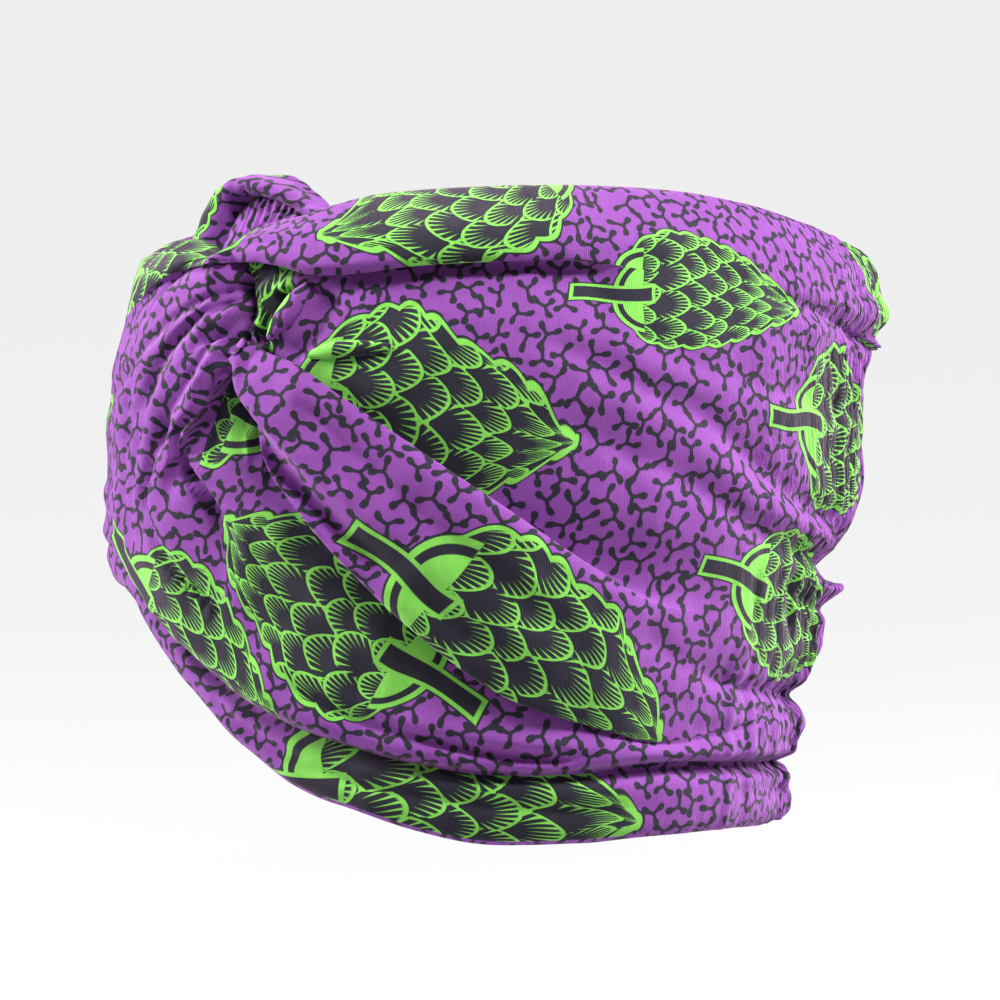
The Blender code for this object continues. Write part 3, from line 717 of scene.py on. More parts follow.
def cloth_piece(name, points, corner_row, corner_column, corner_cloth, corner_motif):
    """A mesh object from a grid: points (row, column, 3) in mm, its quads, and two UV maps by corner."""
    rows, columns = points.shape[:2]
    place = (corner_row % rows) * columns + corner_column % columns
    corners = points.reshape(-1, 3)
    centre = corners.mean(0)
    a, b, c, d = (corners[place[:, k]] - centre for k in range(4))
    volume = (np.cross(a, b) * c).sum() + (np.cross(a, c) * d).sum()
    order = [0, 1, 2, 3] if volume > 0 else [0, 3, 2, 1]
    mesh = bpy.data.meshes.new(name)
    mesh.vertices.add(len(corners))
    mesh.vertices.foreach_set("co", (corners * MM).ravel())
    mesh.loops.add(place.size)
    mesh.loops.foreach_set("vertex_index", place[:, order].ravel())
    mesh.polygons.add(len(place))
    mesh.polygons.foreach_set("loop_start", np.arange(0, place.size, 4))
    mesh.polygons.foreach_set("use_smooth", np.ones(len(place), bool))
    for label, value in (("cloth", corner_cloth), ("motif", corner_motif)):
        mesh.uv_layers.new(name=label).data.foreach_set("uv", value[:, order].ravel())
    mesh.update()
    mesh.validate()
    piece = add_object(name, mesh)
    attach(piece, "root")
    print(name, len(place) * 2, "triangles")
    return piece


# %% [markdown]
# ## Where the printed motifs lie
#
# The print has large scaled cones with stems on a ground of small branching marks. Each cone is a row of a
# table: the panels that it shows on, the angle and height of its middle, which way it points, how long it
# is and how wide for its length. Every quad takes the nearest cone of its own panel, and its corners get
# their places measured from that cone, in cone lengths. So the shader draws only one cone. A quad that none
# reaches shows the ground alone, and its material is simpler. The fan at the twist is taken as a panel of
# its own, which has no cone.

# %% Motifs
PRINT_ZONES = ZONES + ("fan",)
ALL_OVER = "lower sash middle roll"
MOTIF_COLUMNS = ("zones", "angle", "height", "turn", "length", "wide")
MOTIFS = (
    ("middle", 65.0, 34.0, -8.0, 78.0, 1.2),
    ("middle roll", 110.0, 58.0, -8.0, 68.0, 0.75),
    ("middle", 142.0, 23.0, -8.0, 80.0, 0.9),
    ("middle sash lower", 130.0, -19.0, -18.0, 78.0, 0.8),
    ("middle", 31.0, 60.0, -105.0, 84.0, 1.15),
    ("middle roll", 160.0, 72.0, 120.0, 80.0, 1.0),
    ("sash", 80.0, -22.0, -38.0, 90.0, 0.9),
    ("lower", 55.0, -15.0, 146.0, 80.0, 0.95),
    ("lower", 27.0, -24.0, -38.0, 84.0, 0.9),
    ("lower", 30.0, 42.0, 150.0, 84.0, 0.8),
    ("lower sash middle", 172.0, -48.0, 100.0, 84.0, 1.0),
    ("hem", 67.0, -62.0, -6.0, 104.0, 0.9),
    ("roll", 76.5, 84.5, 198.0, 88.0, 1.0),
    ("roll", 12.0, 66.0, 30.0, 84.0, 1.0),
    (ALL_OVER, -162.0, 12.0, 170.0, 84.0, 1.0),
    (ALL_OVER, -138.0, 52.0, 20.0, 84.0, 1.0),
    (ALL_OVER, -124.0, -24.0, 160.0, 84.0, 1.0),
    ("lower sash middle", -98.0, 16.0, -12.0, 84.0, 1.0),
    ("roll", -100.0, 70.0, 6.0, 84.0, 1.0),
    ("lower sash middle", -66.0, 40.0, 172.0, 84.0, 1.0),
    ("lower", -72.0, -26.0, 14.0, 84.0, 1.0),
    ("lower sash middle", -30.0, 12.0, 24.0, 84.0, 1.0),
    ("roll", -42.0, 66.0, -6.0, 84.0, 1.0),
    ("hem", -140.0, -66.0, 6.0, 92.0, 1.0),
    ("hem", -66.0, -56.0, 20.0, 92.0, 1.0),
)
FAR_AWAY = 9.0
NEAREST_ACROSS = 1.7
# Faces whose cone is further off than this, in cone lengths, show none of it
CONE_REACH = (0.55, 0.33)


def cone_axes(turn, length):
    """The two rows that turn a place on the cloth into a place along and across a cone, in cone lengths."""
    a = np.radians(turn)
    return np.array([[np.cos(a), np.sin(a)], [-np.sin(a), np.cos(a)]]) / length


def motif_places(cloth, quad_zone, cloth_of):
    """Each corner's place from its quad's nearest cone: along and across it from its middle, in lengths."""
    middle = cloth.mean(1)
    best = np.full(len(cloth), np.inf)
    places = np.full(cloth.shape, FAR_AWAY)
    for row in MOTIFS:
        f = dict(zip(MOTIF_COLUMNS, row))
        centre = cloth_of(f["angle"], f["height"])
        axes = cone_axes(f["turn"], f["length"])
        axes[1] /= f["wide"]
        near_by = (middle - centre) @ axes.T
        distance = np.hypot(near_by[:, 0], near_by[:, 1] * NEAREST_ACROSS)
        zones = [PRINT_ZONES.index(name) for name in f["zones"].split()]
        distance[~np.isin(quad_zone, zones)] = np.inf
        closer = distance < best
        best[closer] = distance[closer]
        places[closer] = (cloth[closer] - centre) @ axes.T
    return places


# %% Build the band
FAN_PRINT_STRENGTH = 0.3
FAN_PRINT_LOW = 8.0

up_section = np.cumsum(np.linalg.norm(np.diff(plain, axis=0, append=plain[:1]), axis=-1), axis=0)
up_section = np.concatenate([np.zeros((1, len(columns))), up_section])
up_section = np.concatenate([up_section, up_section[:, :1]], 1)
first_row = np.array([np.flatnonzero(zone[:, 0] == k)[0] for k in range(len(ZONES))])
start_rise = form_rise(columns, height[first_row])
start_rise = np.concatenate([start_rise, start_rise[:, :1]], 1)
corner_row, corner_column = grid_quads(*out.shape, True, True)
quad_zone = zone[corner_row[:, 0], 0]
its_panel = (quad_zone[:, None], corner_column)
cloth_up = start_rise[its_panel] + up_section[corner_row, corner_column] - up_section[first_row][its_panel]
band_cloth = np.stack([along_cloth[corner_column], cloth_up], -1)
first_corner = (corner_row[:, 0] % len(out), corner_column[:, 0] % len(columns))
at_angle, at_height = angle[first_corner], height[first_corner]
on_fan = (fan_past(at_angle, at_height) < 0) & (fold("fan", at_angle) > FAN_PRINT_STRENGTH)
on_fan &= (at_height > FAN_PRINT_LOW) & (quad_zone > HEM) & (quad_zone < ROLL)
print_zone = np.where(on_fan, PRINT_ZONES.index("fan"), quad_zone)


def band_cloth_of(angle_there, height_there):
    """The cloth place of a point of the band that is given by angle and height."""
    return np.array([np.interp(angle_there, columns, along_cloth[:-1]), form_rise(angle_there, height_there)])


band_motif = motif_places(band_cloth, print_zone, band_cloth_of)
band = cloth_piece("band_cloth_ring", band_points, corner_row, corner_column, band_cloth, band_motif)
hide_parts("band")
bare = np.any(np.abs(band_motif.mean(1)) > CONE_REACH, axis=1)
band.data.polygons.foreach_set("material_index", bare.astype(np.int32))
print("faces that show only the ground:", round(100 * bare.mean()), "percent")

# %% [markdown]
# ## The loop, the tuck and the pleat
#
# Where the cloth turns over at the twist it makes a soft roll: a strip folded lengthwise over a centre
# line. The line is a row of points by angle, height and how far out, and at each point a half width, a half
# thickness and the length of the legs that go back toward the head. The loop is hollow and open behind. The
# tuck and the pleat are too small for that, so their sections are filled. Both ends of a strip shrink to a
# point.

# %% Folded strips
STRIP_COLUMNS = ("angle", "height", "out", "half_wide", "half_thick", "leg")
LOOP_PATH = (
    (17.4, 58.0, -6.4, 3.0, 3.2, 1.0),
    (16.0, 63.5, -6.9, 3.8, 3.6, 2.0),
    (15.2, 68.5, -7.2, 4.4, 4.0, 3.0),
    (15.8, 73.6, -6.8, 4.6, 4.6, 5.0),
    (17.6, 78.2, -6.0, 4.0, 5.4, 7.0),
    (21.0, 81.6, -5.4, 3.1, 6.0, 8.0),
    (26.6, 83.0, -5.4, 2.7, 6.0, 8.0),
    (33.4, 81.8, -6.2, 2.4, 5.4, 7.0),
    (38.9, 79.6, -7.5, 2.2, 4.6, 5.0),
    (43.4, 76.8, -8.8, 2.2, 4.2, 4.0),
    (46.4, 73.0, -8.0, 2.2, 3.8, 2.0),
    (48.6, 67.0, -6.6, 2.2, 3.2, 1.0),
)
TUCK_PATH = (
    (43.4, 46.4, 0.8, 0.9, 0.9, 0.0),
    (44.8, 49.2, 1.5, 2.1, 1.9, 0.4),
    (46.4, 52.4, 1.8, 2.6, 2.2, 0.6),
    (47.8, 56.0, 1.6, 2.3, 2.0, 0.4),
    (49.0, 59.2, 0.8, 1.0, 1.0, 0.0),
)
PLEAT_PATH = (
    (50.4, 42.6, 0.6, 0.9, 0.9, 0.0),
    (54.0, 43.8, 1.1, 1.9, 1.5, 0.2),
    (58.0, 44.4, 1.2, 1.9, 1.5, 0.2),
    (63.0, 44.6, 0.6, 0.9, 0.9, 0.0),
)
LOOP_WALL = 1.4
LOOP_GATHER = 0.07
LOOP_GATHER_PITCH = 5.2
LOOP_GATHER_BEND = 2.5
END_SHRINK = (0.0, 0.45, 0.8)
# In metres: points nearer than this are one
JOIN_DISTANCE = 1e-6


def folded_strip(rows, sections, arc_points, wall, gather):
    """A strip of cloth folded lengthwise over a centre line, as a grid of sections.

    Each section is an arch on two straight legs. With a wall the section runs round the outside, then back
    along the inside. Gathers make the arch thicker and thinner along the line, as a sine wave of its length.
    """
    rows = np.array(rows, float)
    at = np.linspace(0, len(rows) - 1, sections)
    knots = np.arange(len(rows))
    v = {name: smooth_curve(knots, rows[:, k], at)[:, None] for k, name in enumerate(STRIP_COLUMNS)}
    middle = on_form(v["angle"][:, 0], v["height"][:, 0], v["out"][:, 0])
    along = np.gradient(middle, axis=0)
    run = np.cumsum(np.linalg.norm(along, axis=1))[:, None]
    along /= np.linalg.norm(along, axis=1)[:, None]
    crown = middle * [1 / HALF_ACROSS**2, 1 / HALF_DEEP**2, 0]
    crown -= (crown * along).sum(1)[:, None] * along
    crown /= np.linalg.norm(crown, axis=1)[:, None]
    side = np.cross(along, crown)
    arc = np.radians(np.linspace(0, 180, arc_points))[None, :]
    phase = 2 * np.pi * run / LOOP_GATHER_PITCH + LOOP_GATHER_BEND * np.sin(arc * 2)
    ripple = 1 + gather * np.sin(phase) / v["half_wide"]
    parts = []
    for less, order in ((0, 1), (wall, -1)) if wall else ((0, 1),):
        across = (v["half_wide"] - less) * np.cos(arc) * ripple
        high = (v["half_thick"] - less) * np.sin(arc) * ripple
        across = np.concatenate([across[:, :1], across, across[:, -1:]], axis=1)
        high = np.concatenate([-v["leg"], high, -v["leg"]], axis=1)
        parts.append((across[:, ::order], high[:, ::order]))
    across = np.concatenate([p[0] for p in parts], axis=1)
    high = np.concatenate([p[1] for p in parts], axis=1)
    return middle[:, None] + across[..., None] * side[:, None] + high[..., None] * crown[:, None]


def closed_ends(grid):
    """The grid with rows added at both ends that shrink to a point."""
    ends = []
    for row in (grid[:1], grid[-1:]):
        centre = row.mean(1, keepdims=True)
        ends.append(np.concatenate([centre + (row - centre) * share for share in END_SHRINK]))
    return np.concatenate([ends[0], grid, ends[1][::-1]])


def own_print(start, motif):
    """The print of a piece by itself: its run and girth from a start, and the one cone that it has."""

    def measure(grid, corner_row, corner_column):
        gap = np.linalg.norm(np.diff(np.concatenate([grid, grid[:, :1]], 1), axis=1), axis=2)
        girth = np.concatenate([np.zeros((len(grid), 1)), np.cumsum(gap, 1)], 1)
        run = np.concatenate([[0], np.cumsum(np.linalg.norm(np.diff(grid.mean(1), axis=0), axis=1))])
        cloth = np.stack([run[corner_row], girth[corner_row, corner_column]], -1)
        return cloth + np.array(start), (cloth - np.array(motif[:2])) @ cone_axes(*motif[2:]).T

    return measure


def band_print(grid, corner_row, corner_column):
    """The print of a fold of the band's own cloth, which runs on from the middle panel that it lies on."""
    x, y, z = grid[corner_row, corner_column % grid.shape[1]].transpose(2, 0, 1)
    angle = np.degrees(np.arctan2(x / HALF_ACROSS, -y / HALF_DEEP))
    cloth = np.moveaxis(band_cloth_of(angle, z), 0, -1)
    return cloth, motif_places(cloth, np.full(len(cloth), MIDDLE), band_cloth_of)


def small_piece(name, grid, node, measure):
    """A cloth piece from a grid of closed sections, whose print comes from a measure of its corners."""
    grid = closed_ends(grid)
    corner_row, corner_column = grid_quads(*grid.shape[:2], False, True)
    piece = cloth_piece(name, grid, corner_row, corner_column, *measure(grid, corner_row, corner_column))
    merge_points(piece)
    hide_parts(node)
    return piece


def merge_points(piece):
    """Joins the points that lie on each other at the two ends of a strip."""
    work = bmesh.new()
    work.from_mesh(piece.data)
    bmesh.ops.remove_doubles(work, verts=work.verts, dist=JOIN_DISTANCE)
    bmesh.ops.dissolve_degenerate(work, edges=work.edges, dist=JOIN_DISTANCE / 10)
    work.to_mesh(piece.data)
    work.free()


# %% Build the strips
# How many sections a strip has, and how many points on each arch
LOOP_GRID, FILLED_GRID = (130, 25), (40, 17)
# Where the loop's cloth starts in the print, and its one cone: run, girth, turn and length
LOOP_PRINT_START = (260, 20)
LOOP_CONE = (10.5, 22, 7, 52)

loop_grid = folded_strip(LOOP_PATH, *LOOP_GRID, LOOP_WALL, LOOP_GATHER)
loop = small_piece("twist_loop_roll", loop_grid, "twist_loop", own_print(LOOP_PRINT_START, LOOP_CONE))
tuck_grid = folded_strip(TUCK_PATH, *FILLED_GRID, None, 0)
tuck = small_piece("twist_tuck_fold", tuck_grid, "twist_tuck", band_print)
pleat_grid = folded_strip(PLEAT_PATH, *FILLED_GRID, None, 0)
pleat = small_piece("side_pleat_fold", pleat_grid, "side_pleat", band_print)

# %% [markdown]
# ## The core
#
# Under the loop the cloth is bunched into upright gathers that close the hollow. It is one thin wall, from
# one side of the loop to the other, rippled as it was drawn together.

# %% Build the core
CORE_ANGLES = (22.4, 44.0)
CORE_FOOT = 56.0
CORE_TOP = ((22.4, 77.0), (26.5, 79.8), (33, 79.4), (39, 77.4), (44, 74.6))
CORE_OUT = -6.0
CORE_BULGE = 0.8
CORE_GATHER = 0.45
CORE_GATHER_PITCH = 2.1
CORE_BEND, CORE_BEND_SIZE, CORE_BEND_SEED = 0.5, 12.0, 9
CORE_GRID = (90, 40)
CORE_PRINT_START = (320, 140)
# The core shows only the ground, so its cone lies far from it
CORE_CONE = (500, 0, 0, 80)


def core_panel(sections, points):
    """The gathered cloth under the loop, as closed sections from one side of the loop to the other."""
    angle = np.linspace(*CORE_ANGLES, sections)
    at, tops = np.array(CORE_TOP, float).T
    top = smooth_curve(at, tops, angle)
    share = np.linspace(0, 1, points)[:, None]
    height = CORE_FOOT + (top - CORE_FOOT) * share
    across = np.sin(np.pi * (angle - CORE_ANGLES[0]) / (CORE_ANGLES[1] - CORE_ANGLES[0]))
    field = waviness(on_form(angle + 0 * height, height, CORE_OUT), CORE_BEND_SIZE, CORE_BEND_SEED)
    bend = CORE_BEND * field
    ripple = CORE_GATHER * across * np.sin(2 * np.pi * (angle / CORE_GATHER_PITCH + bend))
    face = CORE_OUT - CORE_BULGE * (1 - across) + ripple
    back = face - CLOTH
    edge_out = (face[-1] + back[-1]) / 2
    foot_out = (face[0] + back[0]) / 2
    out = np.concatenate([face, edge_out[None], back[::-1], foot_out[None]])
    tall = np.concatenate([height, (top + EDGE_ROUND)[None], height[::-1], (height[0] - EDGE_ROUND)[None]])
    return on_form(angle[None, :], tall, out).transpose(1, 0, 2)


core_print = own_print(CORE_PRINT_START, CORE_CONE)
core = small_piece("twist_core_gathers", core_panel(*CORE_GRID), "twist_core", core_print)

# %% [markdown]
# ## Formulas as nodes
#
# The print is arithmetic on the cloth's own measure, so it needs many Math nodes. A small class makes a
# formula add them as it is written. A group is made once and placed in every material with its own values.
# Noise is the slowest of the nodes, so it is flat and plain wherever that is enough.

# %% Node helpers


def adds(operation):
    """A method that adds one Math node of this operation, fed by the term and any others."""
    return lambda term, *others: term.math(operation, *others)


class Term:
    """A number in a node tree. Arithmetic on it adds Math nodes, so a formula reads as it is written."""

    __add__, __sub__, __mul__ = adds("ADD"), adds("SUBTRACT"), adds("MULTIPLY")
    __truediv__, __pow__, sine = adds("DIVIDE"), adds("POWER"), adds("SINE")
    floor, wrap, size = adds("FLOOR"), adds("FLOORED_MODULO"), adds("ABSOLUTE")
    least, most = adds("MINIMUM"), adds("MAXIMUM")

    def __init__(self, tree, socket):
        self.tree = tree
        self.socket = socket

    def math(self, operation, *others):
        node = self.tree.nodes.new("ShaderNodeMath")
        node.operation = operation
        for slot, value in zip(node.inputs, (self, *others)):
            feed(self.tree, slot, value)
        return Term(self.tree, node.outputs[0])

    def clamp(self, low, high):
        return self.most(low).least(high)

    def below(self, limit, soft):
        """1 where the number is under a limit and 0 where it is over, with a soft step between."""
        return ((self * -1 + limit) / soft + 0.5).clamp(0, 1)


def feed(tree, slot, value):
    """Links a term or socket to a slot, or sets a plain value on it."""
    if isinstance(value, Term):
        tree.links.new(value.socket, slot)
    elif isinstance(value, bpy.types.NodeSocket):
        tree.links.new(value, slot)
    else:
        slot.default_value = value


def length_of(a, b):
    """The length of a flat vector with two parts."""
    return (a * a + b * b).math("SQRT")


def new_group(name, inputs, outputs):
    """A node group with named sockets: its tree, its inputs as terms, and its output node."""
    tree = bpy.data.node_groups.new(name, "ShaderNodeTree")
    for label, kind, value in inputs:
        socket = tree.interface.new_socket(label, in_out="INPUT", socket_type=kind)
        if value is not None:
            socket.default_value = value
    for label, kind in outputs:
        tree.interface.new_socket(label, in_out="OUTPUT", socket_type=kind)
    given = tree.nodes.new("NodeGroupInput")
    given_terms = {s.name: Term(tree, s) for s in given.outputs if s.name}
    return tree, given_terms, tree.nodes.new("NodeGroupOutput")


def place_group(tree, group, **values):
    """A node that uses a group, with its inputs fed by name (spaces written as underscores)."""
    node = tree.nodes.new("ShaderNodeGroup")
    node.node_tree = group
    for label, value in values.items():
        feed(tree, node.inputs[label.replace("_", " ")], value)
    return {s.name: Term(tree, s) for s in node.outputs}


def parts_of(tree, vector):
    """The X, Y and Z of a vector, as terms."""
    node = tree.nodes.new("ShaderNodeSeparateXYZ")
    feed(tree, node.inputs[0], vector)
    return [Term(tree, s) for s in node.outputs]


def joined(tree, x, y, z=0.0):
    """A vector from three numbers."""
    node = tree.nodes.new("ShaderNodeCombineXYZ")
    for slot, value in zip(node.inputs, (x, y, z)):
        feed(tree, slot, value)
    return node.outputs[0]


def dice(tree, x, y, z=0.0):
    """Three random numbers from 0 to 1 for a place given by three whole numbers."""
    node = tree.nodes.new("ShaderNodeTexWhiteNoise")
    node.noise_dimensions = "3D"
    feed(tree, node.inputs["Vector"], joined(tree, x, y, z))
    return parts_of(tree, node.outputs["Color"])


def cloud(tree, vector, scale, detail=0.0):
    """One smooth random number round 0.5, from a flat noise texture. Another scale gives another field."""
    node = tree.nodes.new("ShaderNodeTexNoise")
    node.noise_dimensions = "2D"
    node.inputs["Scale"].default_value = scale
    node.inputs["Detail"].default_value = detail
    feed(tree, node.inputs["Vector"], vector)
    return Term(tree, node.outputs[0])


def drifted(tree, term, cloth, scale, reach):
    """A term with a smooth random number added, up to half a reach either way."""
    return term + (cloud(tree, cloth, scale) - 0.5) * reach


def mixed(tree, share, first, second):
    """A colour between two colours."""
    node = tree.nodes.new("ShaderNodeMix")
    node.data_type = "RGBA"
    feed(tree, node.inputs["Factor"], share)
    feed(tree, node.inputs["A"], first)
    feed(tree, node.inputs["B"], second)
    return node.outputs["Result"]


# %% [markdown]
# ## The ground of branching marks
#
# The dark marks on the ground each have three arms that start thin and end in a knob. They stand in the
# cells of a shifted grid, each pushed off its middle and turned at random. The first group measures the
# distance to one cell's mark: the angle is folded into a third of a turn, so that three arms cost as much
# as one. The second group takes the least distance over the four cells whose marks can reach a point.

# %% Branching marks
FLOAT, VECTOR = "NodeSocketFloat", "NodeSocketVector"
MARK_CELL = 6.6
MARK_SIZES = [
    ("Cell", FLOAT, MARK_CELL),
    ("Arm", FLOAT, 3.4),
    ("Thin", FLOAT, 0.46),
    ("Knob", FLOAT, 0.82),
]
ROW_SQUASH = 1.155
MARK_JITTER = 0.46
MARK_DRIFT = 2.6
DRIFT_SCALES = (0.050, 0.061)
ARMS = 3
ARM_DICE = 7
ARM_LEAST, ARM_SPREAD = 0.62, 0.46
ARM_BEND = 0.34
KNOB_FROM, KNOB_OVER = 0.46, 0.34
INK_EDGE = 0.2

tree, given, result = new_group(
    "branch_mark",
    [(name, FLOAT, 0) for name in ("Across", "Up", "Column", "Row")] + MARK_SIZES,
    [("Distance", FLOAT)],
)
push_x, push_y, spin = dice(tree, given["Column"], given["Row"])
x = (given["Across"] - given["Column"] - 0.5 - (push_x - 0.5) * MARK_JITTER) * given["Cell"]
y = (given["Up"] - given["Row"] - 0.5 - (push_y - 0.5) * MARK_JITTER) * given["Cell"] / ROW_SQUASH
reach = length_of(x, y)
turn = y.math("ARCTAN2", x) * (ARMS / (2 * np.pi)) + spin * ARMS + (ARMS + 0.5)
arm = turn.floor()
arm_long, arm_bend, _ = dice(tree, given["Column"], given["Row"], arm.wrap(ARMS) + ARM_DICE)
long = given["Arm"] * (arm_long * ARM_SPREAD + ARM_LEAST)
off = turn - arm - 0.5 + (arm_bend - 0.5) * ARM_BEND * reach / given["Arm"]
side = off * (2 * np.pi / ARMS)
along = reach * side.math("COSINE")
across = reach * side.sine()
swell = ((along / long - KNOB_FROM) / KNOB_OVER).clamp(0, 1)
swell = swell * swell * (swell * -2 + 3)
thick = given["Thin"] + (given["Knob"] - given["Thin"]) * swell
feed(tree, result.inputs["Distance"], length_of(across, (along - long).most(0)) - thick)
branch_mark = tree

tree, given, result = new_group("coral_ground", [("Cloth", VECTOR, None)] + MARK_SIZES, [("Mark", FLOAT)])
u, v, _ = parts_of(tree, given["Cloth"])
u = drifted(tree, u, given["Cloth"], DRIFT_SCALES[0], MARK_DRIFT) / given["Cell"]
v = drifted(tree, v, given["Cloth"], DRIFT_SCALES[1], MARK_DRIFT) / given["Cell"] * ROW_SQUASH
sizes = {name: given[name] for name, _, _ in MARK_SIZES}
nearest = None
for beside in (0, 1):
    row = (v - 0.5).floor() + beside
    shifted = u + row.wrap(2) * 0.5
    for step in (0, 1):
        column = (shifted - 0.5).floor() + step
        placed = place_group(tree, branch_mark, Across=shifted, Up=v, Column=column, Row=row, **sizes)
        mark = placed["Distance"]
        nearest = mark if nearest is None else nearest.least(mark)
feed(tree, result.inputs["Mark"], nearest.below(0, INK_EDGE))
coral_ground = tree
print("coral ground:", len(tree.nodes), "nodes round", len(branch_mark.nodes), "in each mark")

# %% [markdown]
# ## The scaled cones
#
# A cone is a rounded body of overlapping scales on a stub of stem with two curved sepals. The body's width
# by length is one curve, and the place across it is measured in that width, so that the scales narrow
# toward the tip. The scales stand in shifted rows. A point lies on the scale of the row before it when it
# is within that scale's oval, and otherwise on its own row's. Each scale is dark, with a light rim and a
# comb of light teeth inside the rim.

# %% Cones
CONE_LONG = 84.0
CONE_BEND = 6
CONE_BEND_SCALES = (0.040, 0.047)
BODY_START = 15.0
BODY_HALF = 22.0
BODY_POWERS = (0.62, 0.8)
# The least share of a cone and the least width of it, which keep the formulas from dividing by nothing
LEAST = 0.001
FLANK_MARGIN, FLANK_REACH = 3, 1.6
SCALE_ROWS = 8.2
SCALE_COLUMNS = 2.55
SCALE_LONG, SCALE_WIDE = 1.72, 0.68
SCALE_JITTER = 0.46
SCALE_DICE = 3.0
SCALE_EDGE = 0.001
ROW_BOW = 0.11
TEETH = 4.6
TOOTH_SHIFT = 7
TOOTH_SHARE = 0.52
TOOTH_START, TOOTH_SPREAD, TOOTH_GROWTH = 0.54, 0.16, 0.40
TOOTH_EDGE = 0.16
TOOTH_ONSET = 50
RIM = 0.94
RIM_EDGE = 0.03
BORDER = 1.15
SCALLOP = 1.5
STEM_HALF, STEM_PAST = 2.4, 11.0
SEPAL, SEPAL_HALF, SEPAL_ASIDE = 10.5, 0.95, 2
SEPAL_RIM = 2.4
SEPAL_END = BODY_START + SEPAL * 0.75
DARK_LINE = 0.55

tree, given, result = new_group(
    "cone_scale",
    [(name, FLOAT, 0) for name in ("Along", "Across", "Row")],
    [(name, FLOAT) for name in ("Radius", "Turn", "Chance")],
)
shifted = given["Across"] + given["Row"].wrap(2) * 0.5
column = (shifted + 0.5).floor()
push_x, push_y, chance = dice(tree, given["Row"], column, SCALE_DICE)
x = (given["Along"] - given["Row"] + (push_x - 0.5) * SCALE_JITTER) / SCALE_LONG
y = (shifted - column + (push_y - 0.5) * SCALE_JITTER / 2) / SCALE_WIDE
feed(tree, result.inputs["Radius"], length_of(x, y))
feed(tree, result.inputs["Turn"], y.math("ARCTAN2", x))
feed(tree, result.inputs["Chance"], chance)
cone_scale = tree

tree, given, result = new_group(
    "scaled_cone", [("Motif", VECTOR, None), ("Cloth", VECTOR, None)], [("Cover", FLOAT), ("Light", FLOAT)]
)
u, v, _ = parts_of(tree, given["Motif"])
x = drifted(tree, (u + 0.5) * CONE_LONG, given["Cloth"], CONE_BEND_SCALES[0], CONE_BEND)
y = drifted(tree, v * CONE_LONG, given["Cloth"], CONE_BEND_SCALES[1], CONE_BEND)
share = (x - BODY_START) / (CONE_LONG - BODY_START)
inside_share = share.clamp(LEAST, 1 - LEAST)
width = (inside_share ** BODY_POWERS[0] * np.pi).sine().most(LEAST) ** BODY_POWERS[1] * BODY_HALF
q = (y / (width + FLANK_MARGIN)).clamp(-FLANK_REACH, FLANK_REACH) * SCALE_COLUMNS
p = inside_share * SCALE_ROWS + q * q * ROW_BOW
before = place_group(tree, cone_scale, Along=p, Across=q, Row=p.floor() - 1)
own = place_group(tree, cone_scale, Along=p, Across=q, Row=p.floor())
on_before = before["Radius"].below(1, SCALE_EDGE)
radius, turn, chance = (own[k] + (before[k] - own[k]) * on_before for k in ("Radius", "Turn", "Chance"))
tooth = turn * TEETH + chance * TOOTH_SHIFT
from_middle = (tooth - tooth.floor() - 0.5).size() * 2
grown = ((radius - (chance * TOOTH_SPREAD + TOOTH_START)) / TOOTH_GROWTH).clamp(0, 1)
comb = (from_middle - grown * TOOTH_SHARE).below(0, TOOTH_EDGE) * (grown * TOOTH_ONSET).least(1)
rim = (radius * -1).below(-RIM, RIM_EDGE)
scallop = ((p * np.pi).sine().size() - 0.5) * SCALLOP
beyond = y.size() - width - scallop
past_tip = (share - 1) * (CONE_LONG - BODY_START)
beyond = length_of(beyond.most(0), past_tip.most(0)) + beyond.most(past_tip).least(0)
beyond = beyond.most(share * (BODY_START - CONE_LONG))
body = beyond.below(0, INK_EDGE)
sepal_reach = length_of(x - (BODY_START + SEPAL), y.size() - SEPAL_ASIDE)
sepal_zone = (x - SEPAL_END).below(0, INK_EDGE)
sepal_cover = sepal_reach.below(SEPAL + SEPAL_RIM, INK_EDGE) * sepal_zone
sepal = (sepal_reach - SEPAL).size().below(SEPAL_HALF, INK_EDGE) * sepal_zone
stem_out = (y.size() - STEM_HALF).most(x * -1).most(x - (BODY_START + STEM_PAST))
stem = stem_out.below(0, INK_EDGE)
light = rim.most(comb).most(body * -1 + 1)
light = light.most(sepal_cover) * (sepal * -1 + 1)
light = light.most(stem_out.below(BORDER, INK_EDGE)) * (stem * -1 + 1)
sepal_out = (sepal_reach - (SEPAL + SEPAL_RIM)).most(x - SEPAL_END)
lime_out = (beyond - BORDER).least(stem_out - BORDER).least(sepal_out)
feed(tree, result.inputs["Cover"], lime_out.below(DARK_LINE, INK_EDGE))
feed(tree, result.inputs["Light"], light * lime_out.below(0, INK_EDGE))
scaled_cone = tree
print("scaled cone:", len(tree.nodes), "nodes")

# %% [markdown]
# ## The jersey
#
# Up close the cloth is a fine knit: upright lines of stitches about half a millimetre apart. They show as a
# faint striping of the print and as a very low relief. Near the seam at the nape the cloth is also drawn
# into fine tucks. One group gives both, a tone round 1 and a height.

# %% Jersey
WALE = 0.55
COURSE = 0.42
NAPE_RUCHE = 1.9
RUCHE_START, RUCHE_GROWTH = 150.0, 70.0
RUCHE_BEND, RUCHE_LEAN = 3, 0.12
PATCH_SCALE, FUZZ_SCALE, KNIT_DETAIL = 0.35, 2.6, 1.0
WALE_SWAY, COURSE_SWAY = 0.5, 0.2
WALE_TONE, FUZZ_TONE, PATCH_TONE = 0.03, 0.24, 0.18
WALE_RISE, COURSE_RISE, FUZZ_RISE, RUCHE_RISE = 0.35, 0.2, 0.9, 4.0

